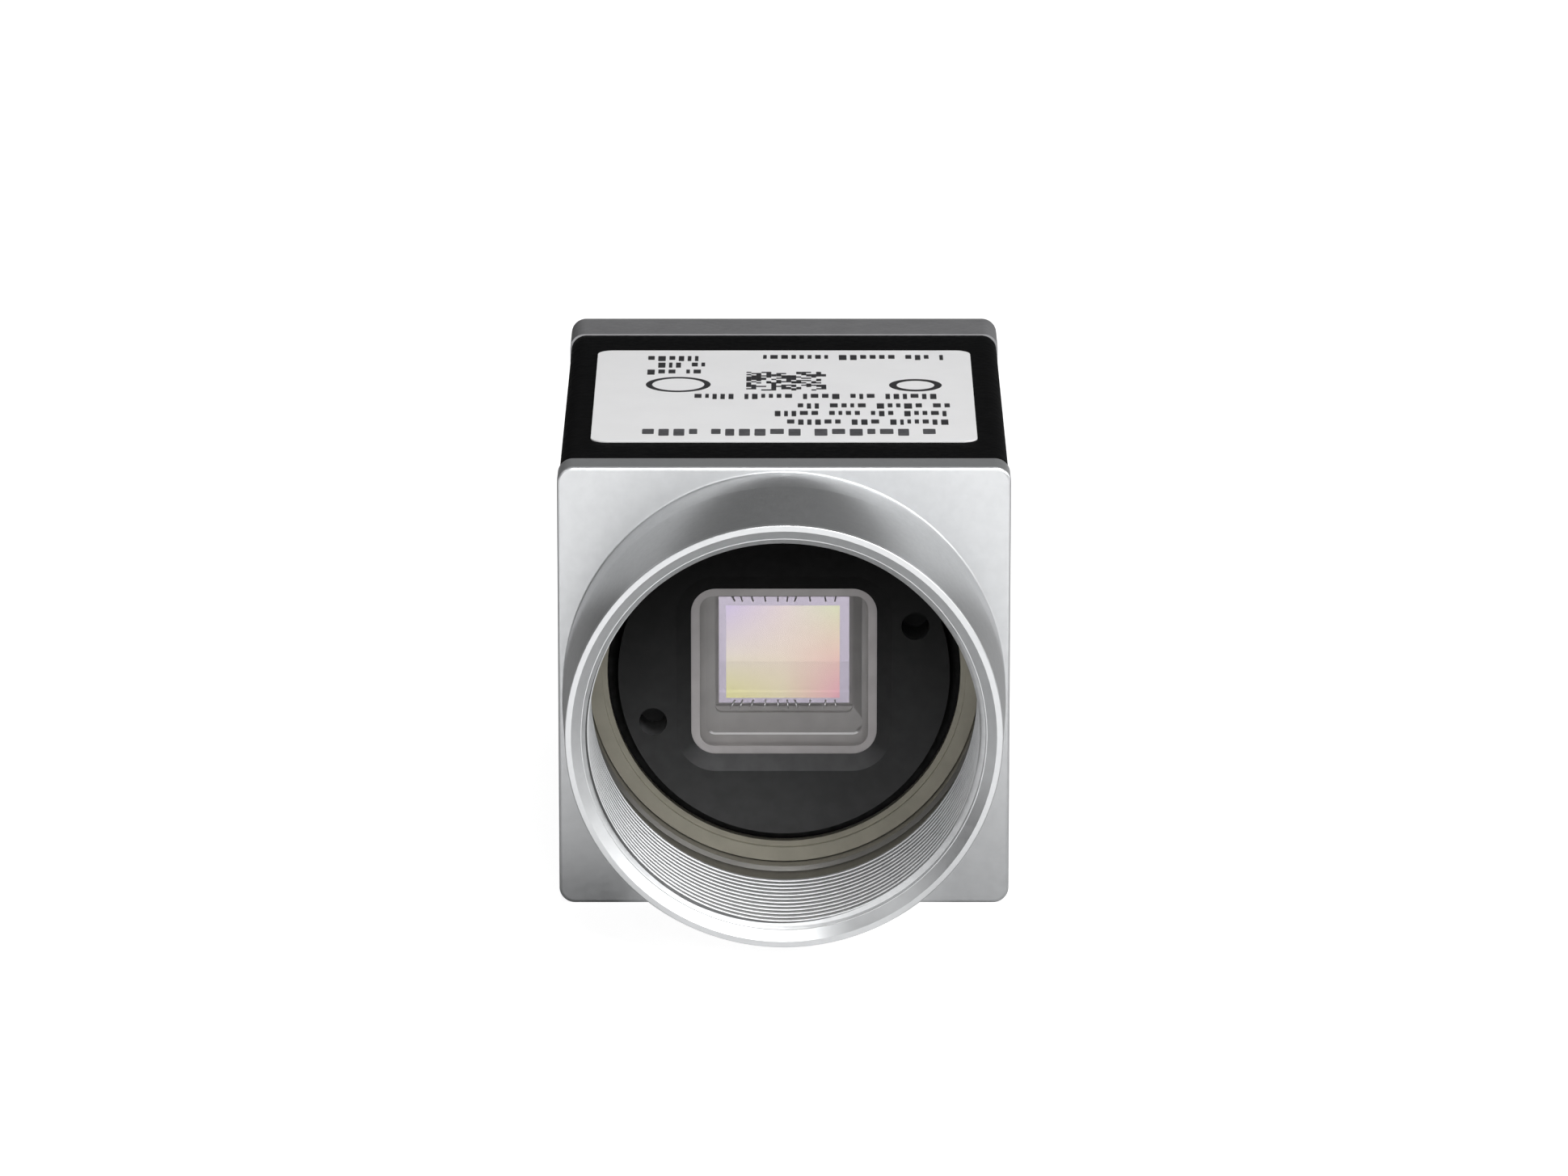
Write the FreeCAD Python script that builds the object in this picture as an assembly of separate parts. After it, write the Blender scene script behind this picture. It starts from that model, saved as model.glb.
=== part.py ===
import FreeCAD, Part
import math
import os

os.makedirs("parts", exist_ok=True)
Vector = FreeCAD.Vector

# A compact machine vision camera with a screw lens mount, in millimetres.
# The origin is the centre of the lens mount's front rim, on the optical axis.
# +Y runs backwards through the camera, +Z is up, and +X is to the right seen from the front.

# ---- Housing ----
side_shoulder = 0.35           # from the lens mount's base to the body's sides
top_shoulder = 0.35            # from the lens mount's base to the body's top and bottom
body_corner_radius = 1.0
body_edge_rounding = 0.22
front_plate_thickness = 2.4
sleeve_length = 34.8
sleeve_wall = 1.0
sleeve_recess = 0.1            # how far the sleeve's faces lie below those of its neighbours
rear_cap_thickness = 4.8
rear_wall_thickness = 2.0
cap_side_wall = 1.5
slide_clearance = 0.1          # between a part and the sleeve that it slides into

# ---- Lens mount: 1 inch by 32 threads an inch ----
thread_major_radius = 12.7
thread_end_depth = 10.6        # from the rim to the last turn
mount_length = 12.1
mount_wall = 1.45              # from the thread to the mount's base
mount_taper = 0.36             # by which the rim is smaller than the base
mount_taper_length = 8.5
mount_rim_rounding = 0.08
mount_base_fillet = 0.12
rim_flat_width = 0.39
lead_in_step = 0.12            # by which the lead-in's inner end is wider than the thread
lead_in_depth = 0.53
relief_undercut = 0.25
relief_length = 3.7

# ---- Optics: the lens standard sets the image plane, and glass in the way moves it back ----
flange_focal_distance = 17.526
glass_refractive_index = 1.52
filter_thickness = 1.0
filter_width = 12.6
filter_height = 11.7
filter_corner_radius = 1.6
glass_gap = 0.1                # filter to sensor cover glass
gasket_wall = 0.3              # rubber round the filter's edge
gasket_lip = 0.15              # rubber in front of the filter
gasket_rear_width = 0.65       # rubber frame behind the filter
gasket_opening_width = 10.88
gasket_opening_height = 10.02
gasket_opening_radius = 0.9
gasket_clearance = 0.05

# ---- Filter holder and the rings round it ----
holder_seal_gap = 1.2          # from the holder's disc to the web's bore
holder_flange_inset = 1.1      # from the housing's inner wall to the holder's flange
holder_flange_height = 16.6
holder_flange_radius = 1.5
holder_post_clearance = 0.15
window_width = 12.0
window_height = 11.08
window_corner_radius = 1.6
window_bevel_width = 0.95
window_bevel_depth = 0.6
window_land = 0.15
spanner_hole_radius = 0.9
spanner_hole_depth = 3.4
spanner_hole_inset = 1.66      # hole's axis to the disc's edge
spanner_hole_angle = 20.6      # above the horizontal
spacer_ring_setback = 0.3      # behind the holder's front face
spacer_ring_thickness = 1.0
spacer_ring_width = 1.25
spacer_ring_step_width = 0.35
spacer_ring_step_depth = 0.35
ring_clearance = 0.05
web_thickness = 1.6
web_seat_width = 0.8           # ledge behind the spacer ring

# ---- Image sensor ----
package_width = 14.0
package_height = 12.4
package_depth = 2.6
package_corner_radius = 0.3
package_clearance = 0.2
cover_glass_width = 10.1
cover_glass_height = 9.87
cover_glass_thickness = 0.5
cover_glass_bevel = 0.2
cover_glass_corner_radius = 0.6
cover_glass_seal = 0.27        # seat for the glass above the package's cavity
die_width = 8.45
die_height = 7.12
die_thickness = 0.4
die_rise = 0.83                # die's middle above the package's middle
die_recess = 0.44              # die surface below the package's front face
die_margin = 0.22              # cavity floor left round the die
bond_ledge_height = 0.32       # ledge above and below the die that carries the bonding pads
cavity_corner_radius = 0.4
wire_radius = 0.03
wire_inset = 0.12              # pad to die edge
pin_count = 10                 # pins in a row
pin_pitch = 1.27
pin_radius = 0.23
pin_row_inset = 0.7
pin_tail_length = 0.6          # beyond the back of the sensor board
pin_hole_clearance = 0.07

# ---- Circuit boards and what joins them ----
board_thickness = 1.0
sensor_board_gap = 0.3         # package back to board
sensor_board_clearance = 0.2   # board edge to the front housing's inner wall
board_edge_clearance = 0.8     # board edge to the sleeve's inner wall
front_standoff_length = 6.5
rear_standoff_length = 7.3
standoff_radius = 1.5
standoff_bottom_inset = 1.8    # lower pair, from the sensor board's bottom edge
standoff_top_drop = 4.0        # upper pair, from the sensor board's top edge
standoff_bottom_x = 4.2
stud_radius = 0.75
stud_engagement = 1.8
stud_clearance = 0.05
board_hole_clearance = 0.2
board_screw_head_radius = 1.45
board_screw_head_height = 0.9
board_screw_clearance = 0.35   # screw head to the side of the network jack
post_radius = 2.1
link_width = 3.6
link_edge_inset = 2.0          # link's middle to the sensor board's edge
link_end_gap = 1.1             # to the boss below a board link and the standoff above it
link_plug_height = 2.4         # height of the plug half of a board link
link_edge_rounding = 0.2
link_clearance = 0.1
spigot_wall = 1.5
spigot_setback = 0.1           # spigot end in front of the sensor board's back

# ---- Parts on the boards ----
processor_chip_size = 12.0
processor_chip_height = 1.4
memory_chip_width = 6.6
memory_chip_length = 9.6
memory_chip_height = 1.0
memory_chip_spacing = 7.6
memory_chip_x = -0.8
readout_chip_size = 6.0
readout_chip_height = 0.9
transformer_width = 12.7
transformer_length = 9.0
transformer_height = 4.0
transformer_z = 3.2
network_chip_size = 5.0
network_chip_height = 0.9
chip_gap = 0.2                 # between the transformer and the network chip
inductor_radius = 2.1
inductor_height = 2.4
inductor_flange = 0.5
inductor_waist_radius = 1.5
inductor_z = -3.4
capacitor_length = 1.6
capacitor_width = 0.8
capacitor_height = 0.8
capacitor_rim_gap = 1.1        # capacitor row to the processor chip's edge

# ---- Rear connectors ----
jack_width = 16.0
jack_height = 13.2
jack_top_gap = 0.9             # jack to the sleeve's inner top
jack_proud = 0.8
jack_shell_wall = 0.25
jack_opening_clearance = 0.15
plug_cavity_width = 12.0
plug_cavity_height = 6.9
plug_cavity_depth = 11.2
latch_width = 6.4
latch_height = 1.5
latch_slot_width = 3.4
latch_slot_height = 1.4
contact_count = 8
contact_pitch = 1.02
contact_radius = 0.18
contact_slot_depth = 1.1
contact_reach = 2.0            # how far a contact's free end stands into the cavity
contact_tip_setback = 1.6      # free end behind the jack's face
receptacle_barrel_radius = 4.0
receptacle_socket_radius = 3.45
receptacle_protrusion = 6.1
receptacle_flange_radius = 4.9
receptacle_flange_thickness = 1.1
receptacle_body_length = 9.0   # behind the rear face
receptacle_pin_count = 6
receptacle_pin_circle = 2.0
receptacle_pin_radius = 0.35
receptacle_pin_setback = 1.7   # pin tips inside the barrel's mouth
receptacle_key_width = 1.2
receptacle_key_depth = 0.35
receptacle_clearance = 0.1
insert_face_height = 0.6       # insert beyond the rear face
nut_across_flats = 8.8
nut_thickness = 1.7
lock_hole_spacing = 21.5
lock_hole_radius = 0.8
lock_hole_depth = 4.0
lock_boss_radius = 2.3
light_pipe_x = 8.6
light_pipe_boss_gap = 0.85     # to the base boss below it
light_pipe_radius = 1.0
light_pipe_clearance = 0.05
light_pipe_proud = 0.3
led_width = 2.0
led_length = 1.25
led_height = 0.8

# ---- Fasteners and tapped holes ----
tie_screw_inset = 2.7          # screw axis to the body's outer faces
tie_screw_radius = 1.0
tie_screw_clearance = 0.1
tie_screw_engagement = 4.0
tie_thread_clearance = 0.03
tie_head_radius = 1.75
tie_head_height = 1.3
tie_head_depth = 0.3           # head below the rear face
tie_head_clearance = 0.2
hex_socket_flats = 1.5
hex_socket_depth = 0.8
tie_post_radius = 2.0
cap_lug_length = 2.0
base_hole_spacing = 18.0
front_base_hole_radius = 1.25  # tapping size of M3
front_base_hole_depth = 4.5
front_base_hole_y = 25.15
rear_base_hole_radius = 0.8    # tapping size of M2
rear_base_hole_depth = 3.5
rear_base_hole_y = 43.5
base_boss_length = 5.2
base_boss_reach = 2.8          # boss edge to hole axis, towards the middle
base_boss_roof = 0.6           # metal left above a hole
boss_clearance = 0.2
drill_point_angle = 118.0

# ---- Label ----
label_width = 25.0
label_length = 25.4
label_corner_radius = 1.0
label_thickness = 0.1
label_setback = 7.0            # label's front edge behind the front face

# ---- Places along the optical axis ----
front_face = mount_length
sleeve_front = front_face + front_plate_thickness
sleeve_rear = sleeve_front + sleeve_length
cap_rear = sleeve_rear + rear_cap_thickness
cap_inner = cap_rear - rear_wall_thickness
glass_shift = (filter_thickness + cover_glass_thickness) * (1 - 1 / glass_refractive_index)
image_plane = flange_focal_distance + glass_shift
package_front = image_plane - die_recess
package_back = package_front + package_depth
cover_glass_front = package_front - cover_glass_thickness
filter_back = cover_glass_front - glass_gap
filter_front = filter_back - filter_thickness
gasket_front = filter_front - gasket_lip
window_bevel_end = gasket_front - window_land
holder_front = window_bevel_end - window_bevel_depth
spacer_front = holder_front + spacer_ring_setback
web_front = spacer_front + spacer_ring_thickness
web_back = web_front + web_thickness
sensor_board_front = package_back + sensor_board_gap
sensor_board_back = sensor_board_front + board_thickness
spigot_end = sensor_board_back - spigot_setback
processor_board_front = sensor_board_back + front_standoff_length
processor_board_back = processor_board_front + board_thickness
interface_board_front = processor_board_back + rear_standoff_length
interface_board_back = interface_board_front + board_thickness
jack_face = cap_rear + jack_proud

# ---- Sizes across the axis: the mount stands round the thread, and the body round the mount ----
mount_base_radius = thread_major_radius + mount_wall
mount_rim_radius = mount_base_radius - mount_taper
relief_radius = thread_major_radius + relief_undercut
lead_in_radius = thread_major_radius + lead_in_step
web_bore_radius = thread_major_radius - web_seat_width
holder_disc_radius = web_bore_radius - holder_seal_gap
spacer_ring_outer_radius = thread_major_radius - ring_clearance
spacer_ring_inner_radius = spacer_ring_outer_radius - spacer_ring_width
spacer_ring_step_radius = spacer_ring_inner_radius + spacer_ring_step_width
spanner_circle_radius = holder_disc_radius - spanner_hole_inset
body_width = 2 * (mount_base_radius + side_shoulder)
body_height = 2 * (mount_base_radius + top_shoulder)
sleeve_width = body_width - 2 * sleeve_recess
sleeve_height = body_height - 2 * sleeve_recess
sleeve_inner_width = sleeve_width - 2 * sleeve_wall
sleeve_inner_height = sleeve_height - 2 * sleeve_wall
spigot_width = sleeve_inner_width - 2 * slide_clearance
spigot_height = sleeve_inner_height - 2 * slide_clearance
inner_corner_radius = 0.3
cavity_width = spigot_width - 2 * spigot_wall
cavity_height = spigot_height - 2 * spigot_wall
sensor_board_width = cavity_width - 2 * sensor_board_clearance
sensor_board_height = cavity_height - 2 * sensor_board_clearance
board_width = sleeve_inner_width - 2 * board_edge_clearance
board_height = sleeve_inner_height - 2 * board_edge_clearance
tie_x = body_width / 2 - tie_screw_inset
tie_z = body_height / 2 - tie_screw_inset
standoff_top_x = jack_width / 2 + board_screw_clearance + board_screw_head_radius
standoff_top_z = sensor_board_height / 2 - standoff_top_drop
standoff_bottom_z = standoff_bottom_inset - sensor_board_height / 2
holder_flange_width = cavity_width - 2 * holder_flange_inset
gasket_width = filter_width + 2 * gasket_wall
gasket_height = filter_height + 2 * gasket_wall
gasket_corner_radius = filter_corner_radius + gasket_wall
cavity_margin = die_margin + bond_ledge_height
cover_glass_top = die_rise + die_height / 2 + cavity_margin + cover_glass_seal
cover_glass_z = cover_glass_top - cover_glass_height / 2
base_face = -sleeve_height / 2
base_hole_x = base_hole_spacing / 2
boss_side = base_hole_x - base_boss_reach
front_boss_top = base_face + front_base_hole_depth + front_base_hole_radius + base_boss_roof
rear_boss_top = base_face + rear_base_hole_depth + rear_base_hole_radius + base_boss_roof
link_x = sensor_board_width / 2 - link_edge_inset
link_bottom = front_boss_top + link_end_gap
link_top = standoff_top_z - standoff_radius - link_end_gap
link_length = link_top - link_bottom
link_z = (link_top + link_bottom) / 2
network_chip_z = transformer_z - (transformer_length + network_chip_size) / 2 - chip_gap
jack_z = sleeve_inner_height / 2 - jack_top_gap - jack_height / 2
receptacle_highest = jack_z - jack_height / 2 - receptacle_flange_radius
receptacle_lowest = cap_side_wall - body_height / 2 + nut_across_flats / 2
receptacle_z = (receptacle_highest + receptacle_lowest) / 2
light_pipe_z = rear_boss_top + light_pipe_boss_gap + light_pipe_radius

corner_signs = [(-1, -1), (1, -1), (1, 1), (-1, 1)]
tie_places = [(sx * tie_x, sz * tie_z) for sx, sz in corner_signs]
standoff_places = [(side * standoff_top_x, standoff_top_z) for side in (-1, 1)]
standoff_places += [(side * standoff_bottom_x, standoff_bottom_z) for side in (-1, 1)]

# Bond wires from left to right: where each leaves the die, and where it lands on the ledge.
wire_places = [
    (-3.2, -3.5), (-2.7, -2.9), (-2.0, -2.2), (-1.2, -1.3), (-0.4, -0.4),
    (0.2, 0.2), (0.7, 0.9), (1.7, 1.6), (2.7, 2.6), (3.3, 3.4),
]


# ---- Shared forms ----
def edges_along(shape, axis):
    """Straight edges of a shape that run along an axis."""
    found = []
    for edge in shape.Edges:
        if isinstance(edge.Curve, Part.Line):
            if abs(edge.tangentAt(edge.FirstParameter).dot(axis)) > 0.999:
                found.append(edge)
    return found


def block(width, height, y_from, y_to, radius=0.0, x=0.0, z=0.0):
    """Block centred on (x, z) from y_from to y_to, its edges along Y rounded."""
    corner = Vector(x - width / 2, y_from, z - height / 2)
    shape = Part.makeBox(width, y_to - y_from, height, corner)
    if radius > 0:
        shape = shape.makeFillet(radius, edges_along(shape, Vector(0, 1, 0)))
    return shape


def rod(radius, y_from, y_to, x=0.0, z=0.0):
    """Round bar along Y."""
    return Part.makeCylinder(radius, y_to - y_from, Vector(x, y_from, z), Vector(0, 1, 0))


def turned(profile):
    """Solid of revolution about the Y axis from (radius, y) points."""
    points = [Vector(radius, y, 0) for radius, y in profile]
    face = Part.Face(Part.makePolygon(points + points[:1]))
    return face.revolve(Vector(0, 0, 0), Vector(0, 1, 0), 360)


def hex_bar(across_flats, y_from, y_to, x=0.0, z=0.0):
    """Hexagonal bar along Y with a flat facing down."""
    radius = across_flats / math.sqrt(3)
    points = []
    for step in range(7):
        angle = math.radians(60 * step)
        points.append(Vector(x + radius * math.cos(angle), y_from, z + radius * math.sin(angle)))
    return Part.Face(Part.makePolygon(points)).extrude(Vector(0, y_to - y_from, 0))


def drilled_hole_up(radius, depth, x, y):
    """Blind hole with a drill point, going up from the sleeve's bottom face."""
    base = Vector(x, y, base_face)
    point_height = radius / math.tan(math.radians(drill_point_angle / 2))
    shaft = Part.makeCylinder(radius, depth, base)
    point = Part.makeCone(radius, 0, point_height, base + Vector(0, 0, depth))
    return shaft.fuse(point)


def joined(shapes):
    """One clean solid from shapes that touch or overlap."""
    return shapes[0].multiFuse(shapes[1:]).removeSplitter()


def export(node, shapes):
    """Write one node, a single solid or a group of separate solids."""
    solids = shapes if isinstance(shapes, list) else [shapes]
    shape = solids[0] if len(solids) == 1 else Part.makeCompound(solids)
    shape.exportStep(f"parts/{node}.step")


# ---- Housing ----
def round_outer_edges(shape, y_face, width, height):
    """Round the outline of the end face at y_face."""
    outline = []
    for edge in shape.Edges:
        box = edge.BoundBox
        reach = max(box.XMax, -box.XMin) > width / 2 - body_corner_radius - 0.01
        rise = max(box.ZMax, -box.ZMin) > height / 2 - body_corner_radius - 0.01
        if box.YLength < 0.001 and abs(box.YMin - y_face) < 0.001 and reach and rise:
            outline.append(edge)
    return shape.makeFillet(body_edge_rounding, outline)


def mount_body():
    """Tapered lens mount ring as a solid disc, with a rounded rim and a fillet at its base."""
    root = front_face + front_plate_thickness / 2
    towards_rim = Vector(math.cos(math.pi / 4), -math.sin(math.pi / 4), 0)
    fillet_centre = Vector(mount_base_radius + mount_base_fillet, front_face - mount_base_fillet, 0)
    fillet_middle = fillet_centre - towards_rim * mount_base_fillet
    rim_centre = Vector(mount_rim_radius - mount_rim_rounding, mount_rim_rounding, 0)
    rim_middle = rim_centre + towards_rim * mount_rim_rounding
    axis_front = Vector(0, 0, 0)
    rim_inner = Vector(mount_rim_radius - mount_rim_rounding, 0, 0)
    rim_outer = Vector(mount_rim_radius, mount_rim_rounding, 0)
    taper_end = Vector(mount_base_radius, mount_taper_length, 0)
    fillet_start = Vector(mount_base_radius, front_face - mount_base_fillet, 0)
    fillet_end = Vector(mount_base_radius + mount_base_fillet, front_face, 0)
    foot = Vector(mount_base_radius + mount_base_fillet, root, 0)
    axis_back = Vector(0, root, 0)
    outline = [
        Part.makeLine(axis_front, rim_inner),
        Part.Arc(rim_inner, rim_middle, rim_outer).toShape(),
        Part.makeLine(rim_outer, taper_end),
        Part.makeLine(taper_end, fillet_start),
        Part.Arc(fillet_start, fillet_middle, fillet_end).toShape(),
        Part.makeLine(fillet_end, foot),
        Part.makeLine(foot, axis_back),
        Part.makeLine(axis_back, axis_front),
    ]
    return Part.Face(Part.Wire(outline)).revolve(Vector(0, 0, 0), Vector(0, 1, 0), 360)


def mount_bore():
    """Lead-in, thread bore, thread relief, spacer seat and the opening through the web."""
    rim_flat_radius = mount_rim_radius - rim_flat_width
    relief_end = thread_end_depth + relief_length
    return turned([
        (0, -1),
        (rim_flat_radius, -1),
        (rim_flat_radius, 0),
        (lead_in_radius, lead_in_depth),
        (thread_major_radius, lead_in_depth + lead_in_step),
        (thread_major_radius, thread_end_depth),
        (relief_radius, thread_end_depth + relief_undercut),
        (relief_radius, relief_end - relief_undercut),
        (thread_major_radius, relief_end),
        (thread_major_radius, web_front),
        (web_bore_radius, web_front),
        (web_bore_radius, web_back),
        (0, web_back),
    ])


def front_housing():
    plate = block(body_width, body_height, front_face, sleeve_front, body_corner_radius)
    plate = round_outer_edges(plate, front_face, body_width, body_height)
    spigot = block(spigot_width, spigot_height, sleeve_front, spigot_end, inner_corner_radius)
    cavity = block(cavity_width, cavity_height, web_back, spigot_end, inner_corner_radius)
    body = joined([plate, spigot, mount_body()]).cut(cavity)
    posts = [rod(tie_post_radius, web_back, spigot_end, x, z).common(spigot) for x, z in tie_places]
    posts += [rod(post_radius, web_back, sensor_board_front, x, z) for x, z in standoff_places]
    body = joined([body] + posts)
    thread = tie_screw_radius + tie_thread_clearance
    stud_hole = stud_radius + stud_clearance
    holes = [rod(thread, spigot_end - tie_screw_engagement, spigot_end, x, z) for x, z in tie_places]
    holes += [
        rod(stud_hole, sensor_board_front - stud_engagement, spigot_end, x, z) for x, z in standoff_places
    ]
    return body.cut(joined([mount_bore()] + holes))


def base_bosses(top, y):
    """Pair of bosses on the sleeve's floor, run out to its side walls."""
    bosses = []
    wall = sleeve_inner_width / 2 + sleeve_wall / 2
    floor = base_face + sleeve_wall / 2
    for side in (-1, 1):
        left = boss_side if side > 0 else -wall
        corner = Vector(left, y - base_boss_length / 2, floor)
        boss = Part.makeBox(wall - boss_side, base_boss_length, top - floor, corner)
        inner_x = side * boss_side
        upper = [
            edge for edge in edges_along(boss, Vector(0, 1, 0))
            if abs(edge.BoundBox.XMin - inner_x) < 0.01 and edge.BoundBox.ZMin > top - 0.01
        ]
        bosses.append(boss.makeFillet(inner_corner_radius, upper))
    return bosses


def housing_sleeve():
    outer = block(sleeve_width, sleeve_height, sleeve_front, sleeve_rear, body_corner_radius)
    inner = block(sleeve_inner_width, sleeve_inner_height, sleeve_front, sleeve_rear, inner_corner_radius)
    bosses = base_bosses(front_boss_top, front_base_hole_y)
    bosses += base_bosses(rear_boss_top, rear_base_hole_y)
    shell = joined([outer.cut(inner)] + bosses)
    passage = tie_screw_radius + tie_screw_clearance
    holes = [rod(passage, sleeve_front, sleeve_rear, x, z) for x, z in tie_places]
    for side in (-1, 1):
        x = side * base_hole_x
        holes.append(drilled_hole_up(front_base_hole_radius, front_base_hole_depth, x, front_base_hole_y))
        holes.append(drilled_hole_up(rear_base_hole_radius, rear_base_hole_depth, x, rear_base_hole_y))
    for hole in holes:
        shell = shell.cut(hole)
    return shell


def rear_cap():
    plate = block(body_width, body_height, sleeve_rear, cap_rear, body_corner_radius)
    plate = round_outer_edges(plate, cap_rear, body_width, body_height)
    inside_width = body_width - 2 * cap_side_wall
    inside_height = body_height - 2 * cap_side_wall
    hollow = block(inside_width, inside_height, sleeve_rear, cap_inner, inner_corner_radius)
    lug_limit = block(spigot_width, spigot_height, sleeve_rear - cap_lug_length, cap_rear)
    lugs = [
        rod(tie_post_radius, sleeve_rear - cap_lug_length, cap_inner, x, z).common(lug_limit)
        for x, z in tie_places
    ]
    lock_places = [(side * lock_hole_spacing / 2, jack_z) for side in (-1, 1)]
    lock_floor = cap_rear - lock_hole_depth
    bosses = [rod(lock_boss_radius, lock_floor, cap_inner, x, z).common(plate) for x, z in lock_places]
    body = joined([plate.cut(hollow)] + lugs + bosses)
    opening = 2 * jack_opening_clearance
    cuts = [block(jack_width + opening, jack_height + opening, lock_floor - 1, cap_rear, 0, 0, jack_z)]
    barrel_hole = receptacle_barrel_radius + receptacle_clearance
    pipe_hole = light_pipe_radius + light_pipe_clearance
    cuts.append(rod(barrel_hole, cap_inner, cap_rear, 0, receptacle_z))
    cuts.append(rod(pipe_hole, cap_inner, cap_rear, light_pipe_x, light_pipe_z))
    cuts += [rod(lock_hole_radius, lock_floor, cap_rear, x, z) for x, z in lock_places]
    head_seat = cap_rear - tie_head_depth - tie_head_height
    for x, z in tie_places:
        cuts.append(rod(tie_screw_radius + tie_screw_clearance, sleeve_rear - cap_lug_length, cap_rear, x, z))
        cuts.append(rod(tie_head_radius + tie_head_clearance, head_seat, cap_rear, x, z))
    for cut in cuts:
        body = body.cut(cut)
    return body


def label():
    corner = Vector(-label_width / 2, front_face + label_setback, sleeve_height / 2)
    plate = Part.makeBox(label_width, label_length, label_thickness, corner)
    return plate.makeFillet(label_corner_radius, edges_along(plate, Vector(0, 0, 1)))


# ---- Front optics ----
def spacer_ring():
    return turned([
        (spacer_ring_step_radius, spacer_front),
        (spacer_ring_outer_radius, spacer_front),
        (spacer_ring_outer_radius, web_front),
        (spacer_ring_inner_radius, web_front),
        (spacer_ring_inner_radius, spacer_front + spacer_ring_step_depth),
        (spacer_ring_step_radius, spacer_front + spacer_ring_step_depth),
    ])


def holder_seal():
    """O-ring that fills the gap between the filter holder and the web."""
    section_radius = (web_bore_radius - holder_disc_radius) / 2
    ring_radius = (web_bore_radius + holder_disc_radius) / 2
    centre = Vector(0, web_back - section_radius, 0)
    return Part.makeTorus(ring_radius, section_radius, centre, Vector(0, 1, 0))


def window_bevel():
    """Loft from the bevel's outline on the holder's face to the window itself."""
    wide = block(
        window_width + 2 * window_bevel_width,
        window_height + 2 * window_bevel_width,
        holder_front,
        window_bevel_end,
        window_corner_radius + window_bevel_width,
    )
    narrow = block(window_width, window_height, holder_front, window_bevel_end, window_corner_radius)
    outer_wire = min(wide.Faces, key=lambda face: face.CenterOfMass.y).OuterWire
    inner_wire = max(narrow.Faces, key=lambda face: face.CenterOfMass.y).OuterWire
    return Part.makeLoft([outer_wire, inner_wire], True, True)


def filter_holder():
    disc = rod(holder_disc_radius, holder_front, web_back)
    flange = block(
        holder_flange_width, holder_flange_height, web_back, sensor_board_front, holder_flange_radius
    )
    body = joined([disc, flange])
    pocket_width = gasket_width + 2 * gasket_clearance
    pocket_height = gasket_height + 2 * gasket_clearance
    post_room = post_radius + holder_post_clearance
    cuts = [rod(post_room, web_back, sensor_board_front, x, z) for x, z in standoff_places]
    cuts += [
        window_bevel(),
        block(window_width, window_height, window_bevel_end, gasket_front, window_corner_radius),
        block(pocket_width, pocket_height, gasket_front, package_front, gasket_corner_radius),
        block(
            package_width + 2 * package_clearance,
            package_height + 2 * package_clearance,
            package_front,
            sensor_board_front,
            package_corner_radius,
        ),
    ]
    angle = math.radians(spanner_hole_angle)
    for side in (-1, 1):
        x = side * spanner_circle_radius * math.cos(angle)
        z = side * spanner_circle_radius * math.sin(angle)
        cuts.append(rod(spanner_hole_radius, holder_front, holder_front + spanner_hole_depth, x, z))
    for cut in cuts:
        body = body.cut(cut)
    return body


def ir_cut_filter():
    return block(filter_width, filter_height, filter_front, filter_back, filter_corner_radius)


def filter_gasket():
    """Rubber frame with a groove that grips the filter's edge and rests on the sensor package."""
    frame = block(gasket_width, gasket_height, gasket_front, package_front, gasket_corner_radius)
    rear_width = gasket_width - 2 * gasket_rear_width
    rear_height = gasket_height - 2 * gasket_rear_width
    opening = block(
        gasket_opening_width, gasket_opening_height, gasket_front, filter_front, gasket_opening_radius
    )
    rear_opening = block(rear_width, rear_height, filter_back, package_front, gasket_opening_radius)
    return frame.cut(opening).cut(ir_cut_filter()).cut(rear_opening)


# ---- Image sensor ----
def sensor_package():
    body = block(package_width, package_height, package_front, package_back, package_corner_radius)
    cavity_floor = image_plane + die_thickness
    width = die_width + 2 * die_margin
    height = die_height + 2 * cavity_margin
    ledge_cavity = block(width, height, package_front, image_plane, cavity_corner_radius, 0, die_rise)
    die_cavity = block(width, die_height + 2 * die_margin, image_plane, cavity_floor, 0, 0, die_rise)
    return body.cut(ledge_cavity).cut(die_cavity)


def sensor_cover_glass():
    glass = block(
        cover_glass_width,
        cover_glass_height,
        cover_glass_front,
        package_front,
        cover_glass_corner_radius,
        0,
        cover_glass_z,
    )
    front = [edge for edge in glass.Edges if edge.BoundBox.YMax < cover_glass_front + 0.01]
    return glass.makeChamfer(cover_glass_bevel, front)


def sensor_die():
    return block(die_width, die_height, image_plane, image_plane + die_thickness, 0, 0, die_rise)


def bond_wires():
    """Arched wires from the die's pads to the ledges above and below it."""
    wires = []
    pad_z = die_height / 2 - wire_inset
    ledge_z = die_height / 2 + die_margin + bond_ledge_height / 2
    for side in (-1, 1):
        for pad_x, ledge_x in wire_places:
            pad = Vector(pad_x, image_plane, die_rise + side * pad_z)
            landing = Vector(ledge_x, image_plane, die_rise + side * ledge_z)
            across = landing - pad
            span = across.Length
            centre = (pad + landing) / 2
            ring = Part.makeTorus(span / 2, wire_radius, centre, across.cross(Vector(0, 1, 0)))
            front = block(2 * span, 2 * span, image_plane - span, image_plane, 0, centre.x, centre.z)
            wires.append(ring.common(front).Solids[0])
    return wires


def pin_places():
    row_z = package_height / 2 - pin_row_inset
    half = (pin_count - 1) / 2
    return [((index - half) * pin_pitch, side * row_z) for side in (-1, 1) for index in range(pin_count)]


def sensor_pins():
    end = sensor_board_back + pin_tail_length
    return [rod(pin_radius, package_back, end, x, z) for x, z in pin_places()]


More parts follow.
